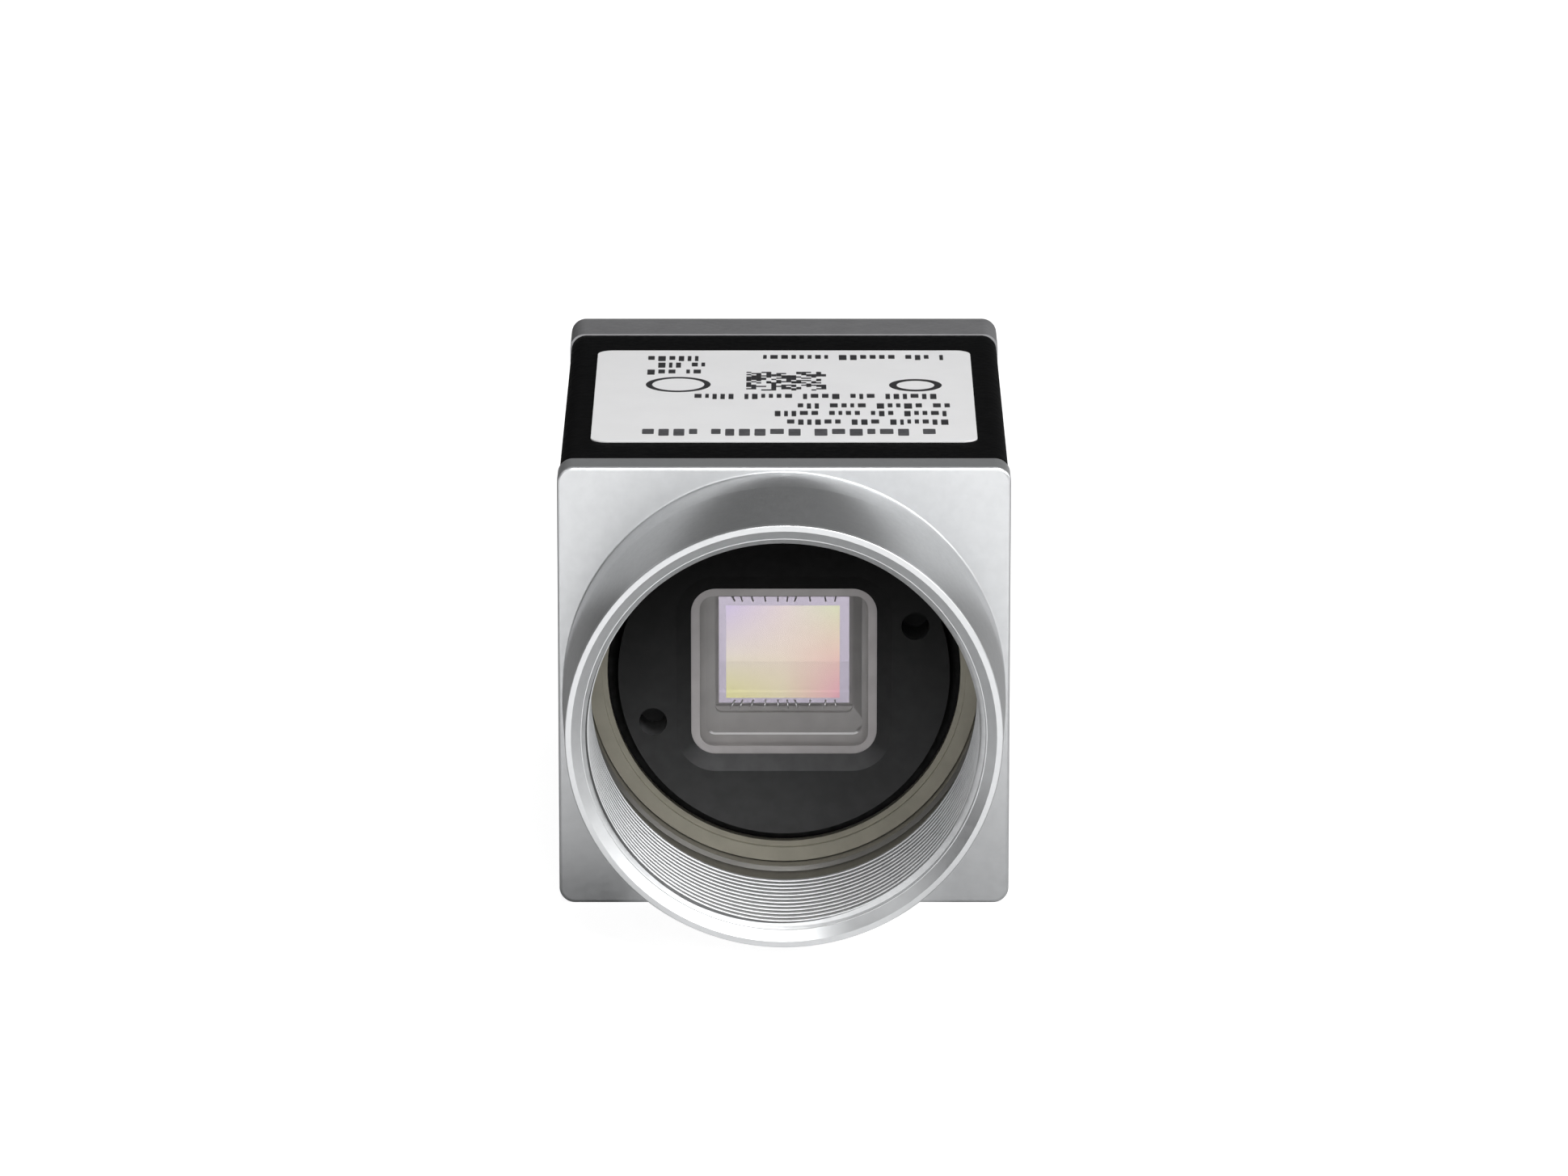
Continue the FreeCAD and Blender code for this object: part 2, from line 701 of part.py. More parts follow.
# ---- Boards ----
def board(width, height, y_from, notch_top, notch_bottom):
    """Board with its corners cut away, each notch as (width, height)."""
    plate = block(width, height, y_from, y_from + board_thickness)
    for side_x, side_z in corner_signs:
        notch_width, notch_height = notch_top if side_z > 0 else notch_bottom
        x = side_x * (width / 2 - notch_width / 2)
        z = side_z * (height / 2 - notch_height / 2)
        plate = plate.cut(block(notch_width, notch_height, y_from, y_from + board_thickness, 0, x, z))
    hole = stud_radius + board_hole_clearance
    for x, z in standoff_places:
        plate = plate.cut(rod(hole, y_from, y_from + board_thickness, x, z))
    return plate


def sensor_board():
    reach = tie_post_radius + sensor_board_clearance
    notch = (sensor_board_width / 2 - tie_x + reach, sensor_board_height / 2 - tie_z + reach)
    plate = board(sensor_board_width, sensor_board_height, sensor_board_front, notch, notch)
    hole = pin_radius + pin_hole_clearance
    for x, z in pin_places():
        plate = plate.cut(rod(hole, sensor_board_front, sensor_board_back, x, z))
    return plate


def inner_board(y_from):
    """Board behind the sensor board, cut clear of the tie screws and the sleeve's bosses."""
    reach = tie_screw_radius + board_hole_clearance
    top = (board_width / 2 - tie_x + reach, board_height / 2 - tie_z + reach)
    bottom_width = board_width / 2 - boss_side + boss_clearance
    bottom = (bottom_width, front_boss_top + boss_clearance + board_height / 2)
    return board(board_width, board_height, y_from, top, bottom)


def interface_board():
    plate = inner_board(interface_board_front)
    hole = receptacle_pin_radius + pin_hole_clearance
    for x, z in receptacle_pin_places():
        plate = plate.cut(rod(hole, interface_board_front, interface_board_back, x, z))
    return plate


def front_standoffs():
    """Threaded spacers whose studs pass through the sensor board into the front housing."""
    spacers = []
    for x, z in standoff_places:
        body = rod(standoff_radius, sensor_board_back, processor_board_front, x, z)
        stud = rod(stud_radius, sensor_board_front - stud_engagement, sensor_board_back, x, z)
        socket = rod(
            stud_radius + stud_clearance, processor_board_front - stud_engagement, processor_board_front, x, z
        )
        spacers.append(joined([body, stud]).cut(socket))
    return spacers


def rear_standoffs():
    """Threaded spacers from the processor board to the interface board."""
    spacers = []
    for x, z in standoff_places:
        body = rod(standoff_radius, processor_board_back, interface_board_front, x, z)
        stud = rod(stud_radius, processor_board_front - stud_engagement, processor_board_back, x, z)
        socket = rod(
            stud_radius + stud_clearance, interface_board_front - stud_engagement, interface_board_front, x, z
        )
        spacers.append(joined([body, stud]).cut(socket))
    return spacers


def board_screws():
    screws = []
    head_end = interface_board_back + board_screw_head_height
    for x, z in standoff_places:
        head = rod(board_screw_head_radius, interface_board_back, head_end, x, z)
        shank = rod(stud_radius, interface_board_front - stud_engagement, interface_board_back, x, z)
        screws.append(joined([head, shank]))
    return screws


def link_plug(y_board, x):
    """Plug half of a board link, standing back from a board: a base with a groove."""
    top = y_board + link_plug_height
    base = block(link_width, link_length, y_board, top, link_edge_rounding, x, link_z)
    groove_length = link_length - link_width / 2
    groove = block(link_width / 2, groove_length, y_board + link_plug_height / 2, top, 0, x, link_z)
    return base.cut(groove)


def link_socket(y_plug_end, y_board, x):
    """Other half of a board link, standing forward from a board, its tongue in the plug's groove."""
    base = block(link_width, link_length, y_plug_end, y_board, link_edge_rounding, x, link_z)
    width = link_width / 2 - 2 * link_clearance
    length = link_length - link_width / 2 - 2 * link_clearance
    tongue = block(width, length, y_plug_end - link_plug_height / 2, y_plug_end, 0, x, link_z)
    return joined([base, tongue])


def processor_chip():
    return block(
        processor_chip_size,
        processor_chip_size,
        processor_board_front - processor_chip_height,
        processor_board_front,
    )


def memory_chips():
    chips = []
    for side in (-1, 1):
        x = memory_chip_x + side * memory_chip_spacing / 2
        end = processor_board_back + memory_chip_height
        chips.append(block(memory_chip_width, memory_chip_length, processor_board_back, end, 0, x))
    return chips


def board_capacitors():
    """Rows of small capacitors above and below the processor chip's back, on the board's front."""
    row_z = processor_chip_size / 2 + capacitor_rim_gap
    capacitors = []
    for side in (-1, 1):
        for step in (-1, 0, 1):
            x = step * 2 * capacitor_width
            front = processor_board_front - capacitor_height
            capacitors.append(
                block(capacitor_width, capacitor_length, front, processor_board_front, 0, x, side * row_z)
            )
    return capacitors


def readout_chip():
    end = sensor_board_back + readout_chip_height
    return block(readout_chip_size, readout_chip_size, sensor_board_back, end)


def network_transformer():
    front = interface_board_front - transformer_height
    radius = inner_corner_radius
    return block(
        transformer_width, transformer_length, front, interface_board_front, radius, 0, transformer_z
    )


def network_chip():
    front = interface_board_front - network_chip_height
    return block(network_chip_size, network_chip_size, front, interface_board_front, 0, 0, network_chip_z)


def power_inductor():
    """Drum core: two flanges and a narrower wound waist."""
    front = interface_board_front - inductor_height
    profile = [
        (0, front),
        (inductor_radius, front),
        (inductor_radius, front + inductor_flange),
        (inductor_waist_radius, front + inductor_flange),
        (inductor_waist_radius, interface_board_front - inductor_flange),
        (inductor_radius, interface_board_front - inductor_flange),
        (inductor_radius, interface_board_front),
        (0, interface_board_front),
    ]
    return turned(profile).translated(Vector(-link_x, 0, inductor_z))


# ---- Network jack ----
def plug_cavity(y_end, clearance=0.0):
    """Mouth for the network plug: a wide channel with two latch steps above it."""
    start = jack_face - plug_cavity_depth
    floor = jack_z - (plug_cavity_height + latch_height + latch_slot_height) / 2
    roof = floor + plug_cavity_height
    steps = [
        (plug_cavity_width, floor, roof),
        (latch_width, roof, roof + latch_height),
        (latch_slot_width, roof + latch_height, roof + latch_height + latch_slot_height),
    ]
    shapes = []
    for width, low, high in steps:
        shapes.append(
            block(width + 2 * clearance, high - low + 2 * clearance, start, y_end, 0, 0, (low + high) / 2)
        )
    return joined(shapes), floor


def contact_places():
    half = (contact_count - 1) / 2
    return [(index - half) * contact_pitch for index in range(contact_count)]


def jack_insulator():
    width = jack_width - 2 * jack_shell_wall
    height = jack_height - 2 * jack_shell_wall
    end = jack_face - jack_shell_wall
    body = block(width, height, interface_board_back, end, 0, 0, jack_z)
    cavity, floor = plug_cavity(end)
    body = body.cut(cavity)
    slot_width = 2 * contact_radius + 2 * pin_hole_clearance
    for x in contact_places():
        start = interface_board_back
        stop = end - contact_tip_setback / 2
        body = body.cut(
            block(slot_width, contact_slot_depth, start, stop, 0, x, floor - contact_slot_depth / 2)
        )
    return body


def jack_shell():
    outer = block(jack_width, jack_height, interface_board_back, jack_face, 0, 0, jack_z)
    inside_width = jack_width - 2 * jack_shell_wall
    inside_height = jack_height - 2 * jack_shell_wall
    inner = block(
        inside_width, inside_height, interface_board_back, jack_face - jack_shell_wall, 0, 0, jack_z
    )
    mouth, _ = plug_cavity(jack_face, jack_opening_clearance)
    return outer.cut(inner).cut(mouth)


def jack_contacts():
    """Spring wires: each lies in its slot from the board, then rises into the cavity."""
    _, floor = plug_cavity(jack_face)
    wire_z = floor - contact_slot_depth + contact_radius
    back_y = jack_face - plug_cavity_depth + contact_reach
    tip_y = jack_face - contact_tip_setback
    wires = []
    for x in contact_places():
        tail = rod(contact_radius, interface_board_back, tip_y, x, wire_z)
        bend = Vector(x, tip_y, wire_z)
        rise = Vector(0, back_y - tip_y, floor + contact_reach - wire_z)
        arm = Part.makeCylinder(contact_radius, rise.Length, bend, rise)
        knee = Part.makeSphere(contact_radius, bend)
        wires.append(joined([tail, arm, knee]))
    return wires


# ---- Round receptacle ----
def receptacle_pin_places():
    places = []
    for index in range(receptacle_pin_count):
        angle = 2 * math.pi * index / receptacle_pin_count
        x = receptacle_pin_circle * math.sin(angle)
        places.append((x, receptacle_z + receptacle_pin_circle * math.cos(angle)))
    return places


def receptacle_shell():
    mouth = cap_rear + receptacle_protrusion
    start = cap_rear - receptacle_body_length
    barrel = rod(receptacle_barrel_radius, start, mouth, 0, receptacle_z)
    flange = rod(receptacle_flange_radius, cap_rear, cap_rear + receptacle_flange_thickness, 0, receptacle_z)
    body = joined([barrel, flange])
    body = body.cut(rod(receptacle_socket_radius, start, mouth, 0, receptacle_z))
    key_z = receptacle_z + receptacle_socket_radius
    key = block(
        receptacle_key_width, 2 * receptacle_key_depth, cap_rear + insert_face_height, mouth, 0, 0, key_z
    )
    return body.cut(key)


def receptacle_insert():
    start = cap_rear - receptacle_body_length
    end = cap_rear + insert_face_height
    body = rod(receptacle_socket_radius, start, end, 0, receptacle_z)
    for x, z in receptacle_pin_places():
        body = body.cut(rod(receptacle_pin_radius, start, end, x, z))
    return body


def receptacle_pins():
    tip = cap_rear + receptacle_protrusion - receptacle_pin_setback
    pins = []
    for x, z in receptacle_pin_places():
        pin = rod(receptacle_pin_radius, interface_board_front, tip, x, z)
        end_edge = [edge for edge in pin.Edges if edge.BoundBox.YMin > tip - 0.001]
        pins.append(pin.makeFillet(receptacle_pin_radius / 2, end_edge))
    return pins


def receptacle_nut():
    start = cap_inner - nut_thickness
    body = hex_bar(nut_across_flats, start, cap_inner, 0, receptacle_z)
    return body.cut(rod(receptacle_barrel_radius + ring_clearance, start, cap_inner, 0, receptacle_z))


def status_light_pipe():
    start = interface_board_back + led_height
    end = cap_rear + light_pipe_proud
    pipe = rod(light_pipe_radius, start, end, light_pipe_x, light_pipe_z)
    end_edge = [edge for edge in pipe.Edges if edge.BoundBox.YMin > end - 0.001]
    return pipe.makeFillet(light_pipe_proud / 2, end_edge)


def status_led():
    end = interface_board_back + led_height
    return block(led_width, led_length, interface_board_back, end, 0, light_pipe_x, light_pipe_z)


# ---- Fasteners ----
def tie_screws():
    """Long screws from the rear cap through the sleeve into the front housing."""
    head_end = cap_rear - tie_head_depth
    head_seat = head_end - tie_head_height
    tip = spigot_end - tie_screw_engagement
    screws = []
    for x, z in tie_places:
        head = rod(tie_head_radius, head_seat, head_end, x, z)
        top_edge = [edge for edge in head.Edges if edge.BoundBox.YMin > head_end - 0.001]
        head = head.makeFillet(tie_head_height / 3, top_edge)
        head = head.cut(hex_bar(hex_socket_flats, head_end - hex_socket_depth, head_end, x, z))
        screws.append(joined([head, rod(tie_screw_radius, tip, head_seat, x, z)]))
    return screws


sensor_link_end = sensor_board_back + link_plug_height
interface_link_end = processor_board_back + link_plug_height

export("front_housing", front_housing())
export("housing_sleeve", housing_sleeve())
export("rear_cap", rear_cap())
export("label", label())
export("spacer_ring", spacer_ring())
export("holder_seal", holder_seal())
export("filter_holder", filter_holder())
export("ir_cut_filter", ir_cut_filter())
export("filter_gasket", filter_gasket())
export("sensor_package", sensor_package())
export("sensor_cover_glass", sensor_cover_glass())
export("sensor_die", sensor_die())
export("bond_wires", bond_wires())
export("sensor_pins", sensor_pins())
export("sensor_board", sensor_board())
export("readout_chip", readout_chip())
export("front_standoffs", front_standoffs())
export("sensor_link_plug", link_plug(sensor_board_back, -link_x))
export("sensor_link_socket", link_socket(sensor_link_end, processor_board_front, -link_x))
export("processor_board", inner_board(processor_board_front))
export("processor_chip", processor_chip())
export("memory_chips", memory_chips())
export("board_capacitors", board_capacitors())
export("rear_standoffs", rear_standoffs())
export("interface_link_plug", link_plug(processor_board_back, link_x))
export("interface_link_socket", link_socket(interface_link_end, interface_board_front, link_x))
export("interface_board", interface_board())
export("network_transformer", network_transformer())
export("network_chip", network_chip())
export("power_inductor", power_inductor())
export("board_screws", board_screws())
export("jack_insulator", jack_insulator())
export("jack_shell", jack_shell())
export("jack_contacts", jack_contacts())
export("receptacle_shell", receptacle_shell())
export("receptacle_insert", receptacle_insert())
export("receptacle_pins", receptacle_pins())
export("receptacle_nut", receptacle_nut())
export("status_light_pipe", status_light_pipe())
export("status_led", status_led())
export("tie_screws", tie_screws())
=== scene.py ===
import math
import random
from collections import namedtuple

import bmesh
import bpy
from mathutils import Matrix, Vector


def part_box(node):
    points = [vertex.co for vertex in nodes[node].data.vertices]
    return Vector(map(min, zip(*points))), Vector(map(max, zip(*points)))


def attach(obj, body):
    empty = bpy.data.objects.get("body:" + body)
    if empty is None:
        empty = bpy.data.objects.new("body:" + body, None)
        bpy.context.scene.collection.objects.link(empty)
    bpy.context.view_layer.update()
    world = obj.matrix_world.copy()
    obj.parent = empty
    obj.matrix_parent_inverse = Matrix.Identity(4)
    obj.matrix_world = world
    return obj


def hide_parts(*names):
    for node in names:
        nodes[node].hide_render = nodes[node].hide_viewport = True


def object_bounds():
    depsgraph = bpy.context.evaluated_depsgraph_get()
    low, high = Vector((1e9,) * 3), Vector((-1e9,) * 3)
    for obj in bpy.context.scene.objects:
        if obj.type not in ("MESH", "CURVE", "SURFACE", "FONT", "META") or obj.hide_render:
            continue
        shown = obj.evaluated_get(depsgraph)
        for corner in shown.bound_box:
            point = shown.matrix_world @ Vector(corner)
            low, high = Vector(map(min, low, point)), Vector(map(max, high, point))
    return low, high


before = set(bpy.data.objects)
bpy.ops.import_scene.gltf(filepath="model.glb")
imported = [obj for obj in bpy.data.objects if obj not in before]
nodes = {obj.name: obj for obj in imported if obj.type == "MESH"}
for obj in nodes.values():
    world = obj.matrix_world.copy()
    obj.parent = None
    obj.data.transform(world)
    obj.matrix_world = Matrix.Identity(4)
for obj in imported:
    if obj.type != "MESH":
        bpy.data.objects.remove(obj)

cad_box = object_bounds()
MM = 0.001


def mm(*values):
    """Millimetres, in metres."""
    return tuple(value * MM for value in values)


# ---------------------------------------------------------------- sizes of the lens mount
THREAD_PITCH = 25.4 / 32 * MM       # 32 turns to the inch
THREAD_DEPTH = 0.35 * MM
THREAD_ROOT = 0.1 * MM              # flat at the bottom of the groove
THREAD_FLANK = THREAD_DEPTH * math.tan(math.radians(60 / 2))
THREAD_START = 0.54 * MM
LEAD_IN_END = 1.10 * MM
THREAD_END = 10.6 * MM
RUN_OUT = 0.3 * MM                  # over which the last ridge dies away
BORE_RADIUS = 12.7 * MM
LEAD_IN_RADIUS = 12.8 * MM
SKIN = 0.01 * MM                    # by which the thread's grooves stand clear of the bore
THREAD_BACK = BORE_RADIUS + 5 * SKIN    # the thread's closing wall, inside the housing's metal
TURN_STEPS = 240
CREST_STEPS = 4
WELD_REACH = 0.0001 * MM
SHORTEST_EDGE = 0.00001 * MM
PLATE_FRONT = 12.1 * MM             # front face of the square plate behind the mount

# Edges of the mount's tones: where each starts to show, and where it is full.
FLANK_RADII = mm(13.55, 13.6)
FLANK_FRONT = mm(0.35, 0.45)
FLANK_BACK = (PLATE_FRONT - 0.03 * MM, PLATE_FRONT - 0.08 * MM)
GROOVE_RADII = (BORE_RADIUS - 0.305 * MM, BORE_RADIUS - 0.275 * MM)
GROOVE_FRONT = (LEAD_IN_END - 0.02 * MM, LEAD_IN_END)
WALL_RADII = (BORE_RADIUS + 0.3 * MM, BORE_RADIUS + 0.27 * MM)
WALL_FRONT = (THREAD_END + 0.02 * MM, THREAD_END + 0.1 * MM)

# ---------------------------------------------------------------- sizes of the label
LABEL_CORNER = 1.0 * MM
LABEL_CORNER_STEPS = 10
LABEL_LIP = 0.02 * MM               # by which the plate's top edge is drawn in
INK_THICKNESS = 0.008 * MM

PrintStyle = namedtuple("PrintStyle", "height narrow wide gap")
LARGE_PRINT = PrintStyle(*mm(1.85, 0.5, 0.95, 0.3))
SMALL_PRINT = PrintStyle(*mm(1.45, 0.22, 0.52, 0.24))
GROUP_LENGTHS = (3, 4, 5, 6, 8)     # blocks in a group
GROUP_GAP = 2                       # further gaps after a group
BLOCK_HEIGHTS = (0.75, 0.75, 1.0)   # as shares of the print's height
BLOCK_CORNER = 0.2                  # as a share of the narrowest block
BLOCK_CORNER_STEPS = 2

# Rows of print: left end, right end, and how far behind the label's front edge.
LARGE_SEED = 3
SMALL_SEED = 11
LARGE_ROW = mm(-9.2, 10.3, 1.45)
SMALL_ROWS = [
    mm(0.2, 11.1, 4.4),
    mm(-0.6, 11.1, 6.75),
    mm(0.9, 11.0, 8.85),
    mm(-5.9, 11.1, 11.5),
    mm(-1.4, 11.0, 22.6),
    mm(-9.1, -5.0, 18.4),
    mm(-8.4, -4.8, 20.4),
    mm(-9.1, -4.5, 22.3),
]

CODE_SEED = 29
CODE_CELLS = 16
CODE_CELL = 5.3 * MM / CODE_CELLS
CODE_LEFT = -2.5 * MM
CODE_FRONT = 13.9 * MM              # behind the label's front edge
CODE_FILL = 0.52                    # share of the cells that are printed
CODE_SQUARE = 0.99 * CODE_CELL
CODE_CORNER = 0.04 * CODE_CELL
CODE_CORNER_STEPS = 1

# Ring marks: centre across, centre behind the label's front edge, radius and width of the line.
RING_MARKS = [mm(-7.0, 15.6, 2.15, 0.42), mm(8.7, 15.4, 1.75, 0.5)]
RING_STEPS = 48

# ---------------------------------------------------------------- sizes of the image sensor
ARRAY_WIDTH = 7.36 * MM
ARRAY_HEIGHT = 6.2 * MM
ARRAY_X = -0.07 * MM                # from the middle of the die
ARRAY_Z = -0.13 * MM
ARRAY_LAYER = 0.012 * MM
PAINTED_REFLECTION_EDGE = mm(0.06, 0.04)       # height below which the chip's tone is deeper, a painted reflection
STRIPE_HEIGHT = -1.95 * MM
STRIPE_EDGE = mm(0.07, 0.09)        # from the middle of the paler stripe, a painted reflection

# Painted interference sheen of the array, at its left, middle and right.
SHEEN_AT_FOOT = ((0.98, 0.93, 0.42), (1.0, 0.89, 0.60), (1.0, 0.50, 0.60))
SHEEN_HALF_WAY = ((0.96, 0.86, 0.80), (1.0, 0.85, 0.74), (1.0, 0.72, 0.62))
SHEEN_AT_TOP = ((0.78, 0.68, 0.94), (0.95, 0.82, 0.82), (0.88, 0.90, 0.64))

# Bonding pads and the wires between them and the package's ledge.
PAD_PLACES = mm(-3.2, -2.7, -2.0, -1.2, -0.4, 0.2, 0.7, 1.7, 2.7, 3.3)
PAD_SIZE = 0.11 * MM
PAD_LAYER = 0.006 * MM
PAD_INSETS = {-1: 0.16 * MM, 1: 0.28 * MM}      # from the die's lower and upper edges
CHIP_CORNER = 0.02 * MM
CHIP_CORNER_STEPS = 2

WIRE_RADIUS = 0.042 * MM
WIRE_ARCH = 0.16 * MM
WIRE_SLOPE = 0.9                    # at a wire's two ends
WIRE_LEDGE = 0.34 * MM              # from the die's edge to the wire's outer end
WIRE_STATIONS = 9
WIRE_SIDES = 6
LEDGE_SHIFTS = mm(-0.3, -0.2, -0.2, -0.1, 0.03, 0.1, 0.2, -0.1, -0.1, 0.1)

# ---------------------------------------------------------------- stage, camera and lamps
FLOOR_REACH = 6.0
CAMERA_GLOW = 0.9                   # added to the lit floor, so that it is white to the camera
MIRROR_GLOW = 0.82                  # added ahead of the lens, as metal and glass see the floor
GLOW_EDGE = mm(-15, -27)            # behind it the floor mirrors only what the lamps give it
UNDER_GLOW = 0.55                   # strip of floor straight under the lens mount
UNDER_EDGE = mm(11, 7)              # from the strip's middle
WORLD_LEVEL = 0.08

CAMERA_PLACE = (0, -0.53785, 0.1523)
CAMERA_DIP = 14.844                 # degrees below level
CAMERA_LENS = 204.13
CAMERA_SENSOR = 36
CAMERA_RANGE = (0.01, 20)

# Azimuth is from the front towards +X; angles are in degrees, sizes and distance in metres.
Lamp = namedtuple("Lamp", "name azimuth elevation size watts distance")
LAMPS = [
    Lamp("key_right", 45, 35, (0.25, 0.25), 1.4, 0.6),
    Lamp("high_right", 50, 60, (0.25, 0.25), 1.5, 0.6),
    Lamp("side_right", 90, 25, (0.5, 0.5), 1.4, 0.7),
    Lamp("fill_left", -45, 35, (0.25, 0.25), 0.37, 0.6),
    Lamp("front_low", 0, 8, (0.5, 0.15), 0.95, 0.9),
    Lamp("front", 0, 30, (0.3, 0.2), 0.5, 0.7),
    Lamp("front_high", 0, 60, (0.1, 0.1), 0.55, 0.5),
    Lamp("back", 180, 60, (0.3, 0.2), 0.15, 0.6),
    Lamp("rear_right", 125, 15, (0.4, 0.3), 0.5, 0.8),
]

# ---------------------------------------------------------------- finishes: shared code
WHITE = (1.0, 1.0, 1.0)
NOISE_RANGE = (0.35, 0.65)          # where nearly all of a noise's values lie
NOISE_ROUGHNESS = 0.55
CLOUD_GRAINS = 12                   # grains across a cloud of colour
GLOSS_GRAINS = 4                    # grains across a patch of gloss

# Masks by how far a surface faces along an axis: where each starts, and where it is full.
FORWARDS = (-0.6, -0.9)
DOWNWARDS = (-0.4, -0.6)
NOT_UPWARDS = (0.65, 0.25)

HOLDER_HEIGHTS = mm(-9, 8)          # between which painted shade darkens the filter holder upwards


class Finish:
    """One material and the nodes behind it. Scales are in features per metre."""

    def __init__(self, name, **values):
        self.material = bpy.data.materials.new(name)
        self.material.use_nodes = True
        self.tree = self.material.node_tree
        self.shader = self.tree.nodes["Principled BSDF"]
        self.place = self.tree.nodes.new("ShaderNodeTexCoord").outputs["Object"]
        for socket, value in values.items():
            self.shader.inputs[socket.replace("_", " ")].default_value = value

    def node(self, kind, **settings):
        made = self.tree.nodes.new(kind)
        for key, value in settings.items():
            setattr(made, key, value)
        return made

    def link(self, source, target):
        self.tree.links.new(source, target)

    def noise(self, scale, detail=3.0):
        """Uneven values over the object's own coordinates."""
        noise = self.node("ShaderNodeTexNoise")
        noise.inputs["Scale"].default_value = scale
        noise.inputs["Detail"].default_value = detail
        noise.inputs["Roughness"].default_value = NOISE_ROUGHNESS
        self.link(self.place, noise.inputs["Vector"])
        return noise.outputs["Fac"]

    def maths(self, operation, *values):
        """One arithmetic step on numbers and sockets."""
        made = self.node("ShaderNodeMath", operation=operation)
        for target, value in zip(made.inputs, values):
            if isinstance(value, (int, float)):
                target.default_value = value
            else:
                self.link(value, target)
        return made.outputs[0]

    def spread(self, source, low, high, start, full):
        """Low up to one value of the source, high from another, and even between them."""
        ranged = self.node("ShaderNodeMapRange")
        ranged.inputs["From Min"].default_value = start
        ranged.inputs["From Max"].default_value = full
        ranged.inputs["To Min"].default_value = low
        ranged.inputs["To Max"].default_value = high
        self.link(source, ranged.inputs["Value"])
        return ranged.outputs["Result"]

    def fade(self, source, start, full):
        """Mask that is 0 up to one value of the source and 1 from another."""
        return self.spread(source, 0, 1, start, full)

    def blend(self, factor, low, high):
        """Mix of two colours, each a tuple or a socket."""
        mix = self.node("ShaderNodeMix", data_type="RGBA")
        for index, value in ((6, low), (7, high)):
            if isinstance(value, tuple):
                mix.inputs[index].default_value = (*value, 1.0)
            else:
                self.link(value, mix.inputs[index])
        self.link(factor, mix.inputs[0])
        return mix.outputs[2]

    def coordinate(self, axis):
        split = self.node("ShaderNodeSeparateXYZ")
        self.link(self.place, split.inputs[0])
        return split.outputs[axis]

    def axis_distance(self):
        """Distance from the optical axis."""
        flat = self.node("ShaderNodeVectorMath", operation="MULTIPLY")
        flat.inputs[1].default_value = (1, 0, 1)
        self.link(self.place, flat.inputs[0])
        length = self.node("ShaderNodeVectorMath", operation="LENGTH")
        self.link(flat.outputs[0], length.inputs[0])
        return length.outputs["Value"]

    def facing(self, axis):
        """How far the surface faces along an axis, from -1 to 1."""
        split = self.node("ShaderNodeSeparateXYZ")
        self.link(self.node("ShaderNodeNewGeometry").outputs["Normal"], split.inputs[0])
        return split.outputs[axis]

    def colour(self, source):
        self.link(source, self.shader.inputs["Base Color"])

    def present_colour(self):
        return self.shader.inputs["Base Color"].links[0].from_socket

    def shade(self, where, factor):
        """Multiply the colour by a factor in the places where a mask is 1."""
        mix = self.node("ShaderNodeMix", data_type="RGBA", blend_type="MULTIPLY")
        mix.inputs[0].default_value = 1.0
        self.link(self.present_colour(), mix.inputs[6])
        self.link(self.blend(where, WHITE, factor), mix.inputs[7])
        self.colour(mix.outputs[2])

    def cover(self, where, colour):
        """Put another colour in the places where a mask is 1."""
        self.colour(self.blend(where, self.present_colour(), colour))

    def mottled(self, cloud, colour, mottle):
        """A colour that varies by a share of itself either way."""
        darker = tinted(colour, 1 - mottle)
        paler = tinted(colour, 1 + mottle)
        self.colour(self.blend(self.fade(cloud, *NOISE_RANGE), darker, paler))

    def roughness(self, patches, low, high):
        self.link(self.spread(patches, low, high, *NOISE_RANGE), self.shader.inputs["Roughness"])

    def bump(self, source, depth, strength=1.0):
        bump = self.node("ShaderNodeBump")
        bump.inputs["Strength"].default_value = strength
        bump.inputs["Distance"].default_value = depth
        self.link(source, bump.inputs["Height"])
        self.link(bump.outputs["Normal"], self.shader.inputs["Normal"])


def tinted(colour, factor):
    """A colour made deeper or paler, up to white."""
    return tuple(min(1.0, part * factor) for part in colour)


def grey(level):
    return (level, level, level)


def plain_finish(name, colour, rough, metallic=0.0, grain=9000.0, relief=0.6e-6, mottle=0.05,
                 uneven=0.1, **values):
    """Even surface with slight mottling, uneven gloss and a fine grain, its relief in metres."""
    finish = Finish(name, Metallic=metallic, **values)
    finish.mottled(finish.noise(grain / CLOUD_GRAINS, detail=2.0), colour, mottle)
    finish.roughness(finish.noise(grain / GLOSS_GRAINS), rough * (1 - uneven), rough * (1 + uneven))
    finish.bump(finish.noise(grain), relief)
    return finish


# ---------------------------------------------------------------- finishes of the housing
def silver_finish(name):
    return plain_finish(name, (0.66, 0.67, 0.68), 0.36, metallic=0.88, grain=16000, relief=0.4e-6,
                        mottle=0.02)


def silver_alloy():
    return silver_finish("silver_alloy").material


def mount_alloy():
    """Silver alloy, with painted shade over the mount's flank, and darker on the bore's wall behind the
    thread.
    """
    finish = silver_finish("mount_alloy")
    depth = finish.coordinate("Y")
    radius = finish.axis_distance()
    along_flank = finish.maths("MULTIPLY", finish.fade(depth, *FLANK_FRONT), finish.fade(depth, *FLANK_BACK))
    flank = finish.maths("MULTIPLY", finish.fade(radius, *FLANK_RADII), along_flank)
    # Painted shade over the mount's flank, all round.
    finish.shade(flank, grey(0.77))
    # Darker on the bore's wall behind the thread.
    wall = finish.maths("MULTIPLY", finish.fade(depth, *WALL_FRONT), finish.fade(radius, *WALL_RADII))
    finish.cover(wall, (0.34, 0.33, 0.31))
    return finish.material


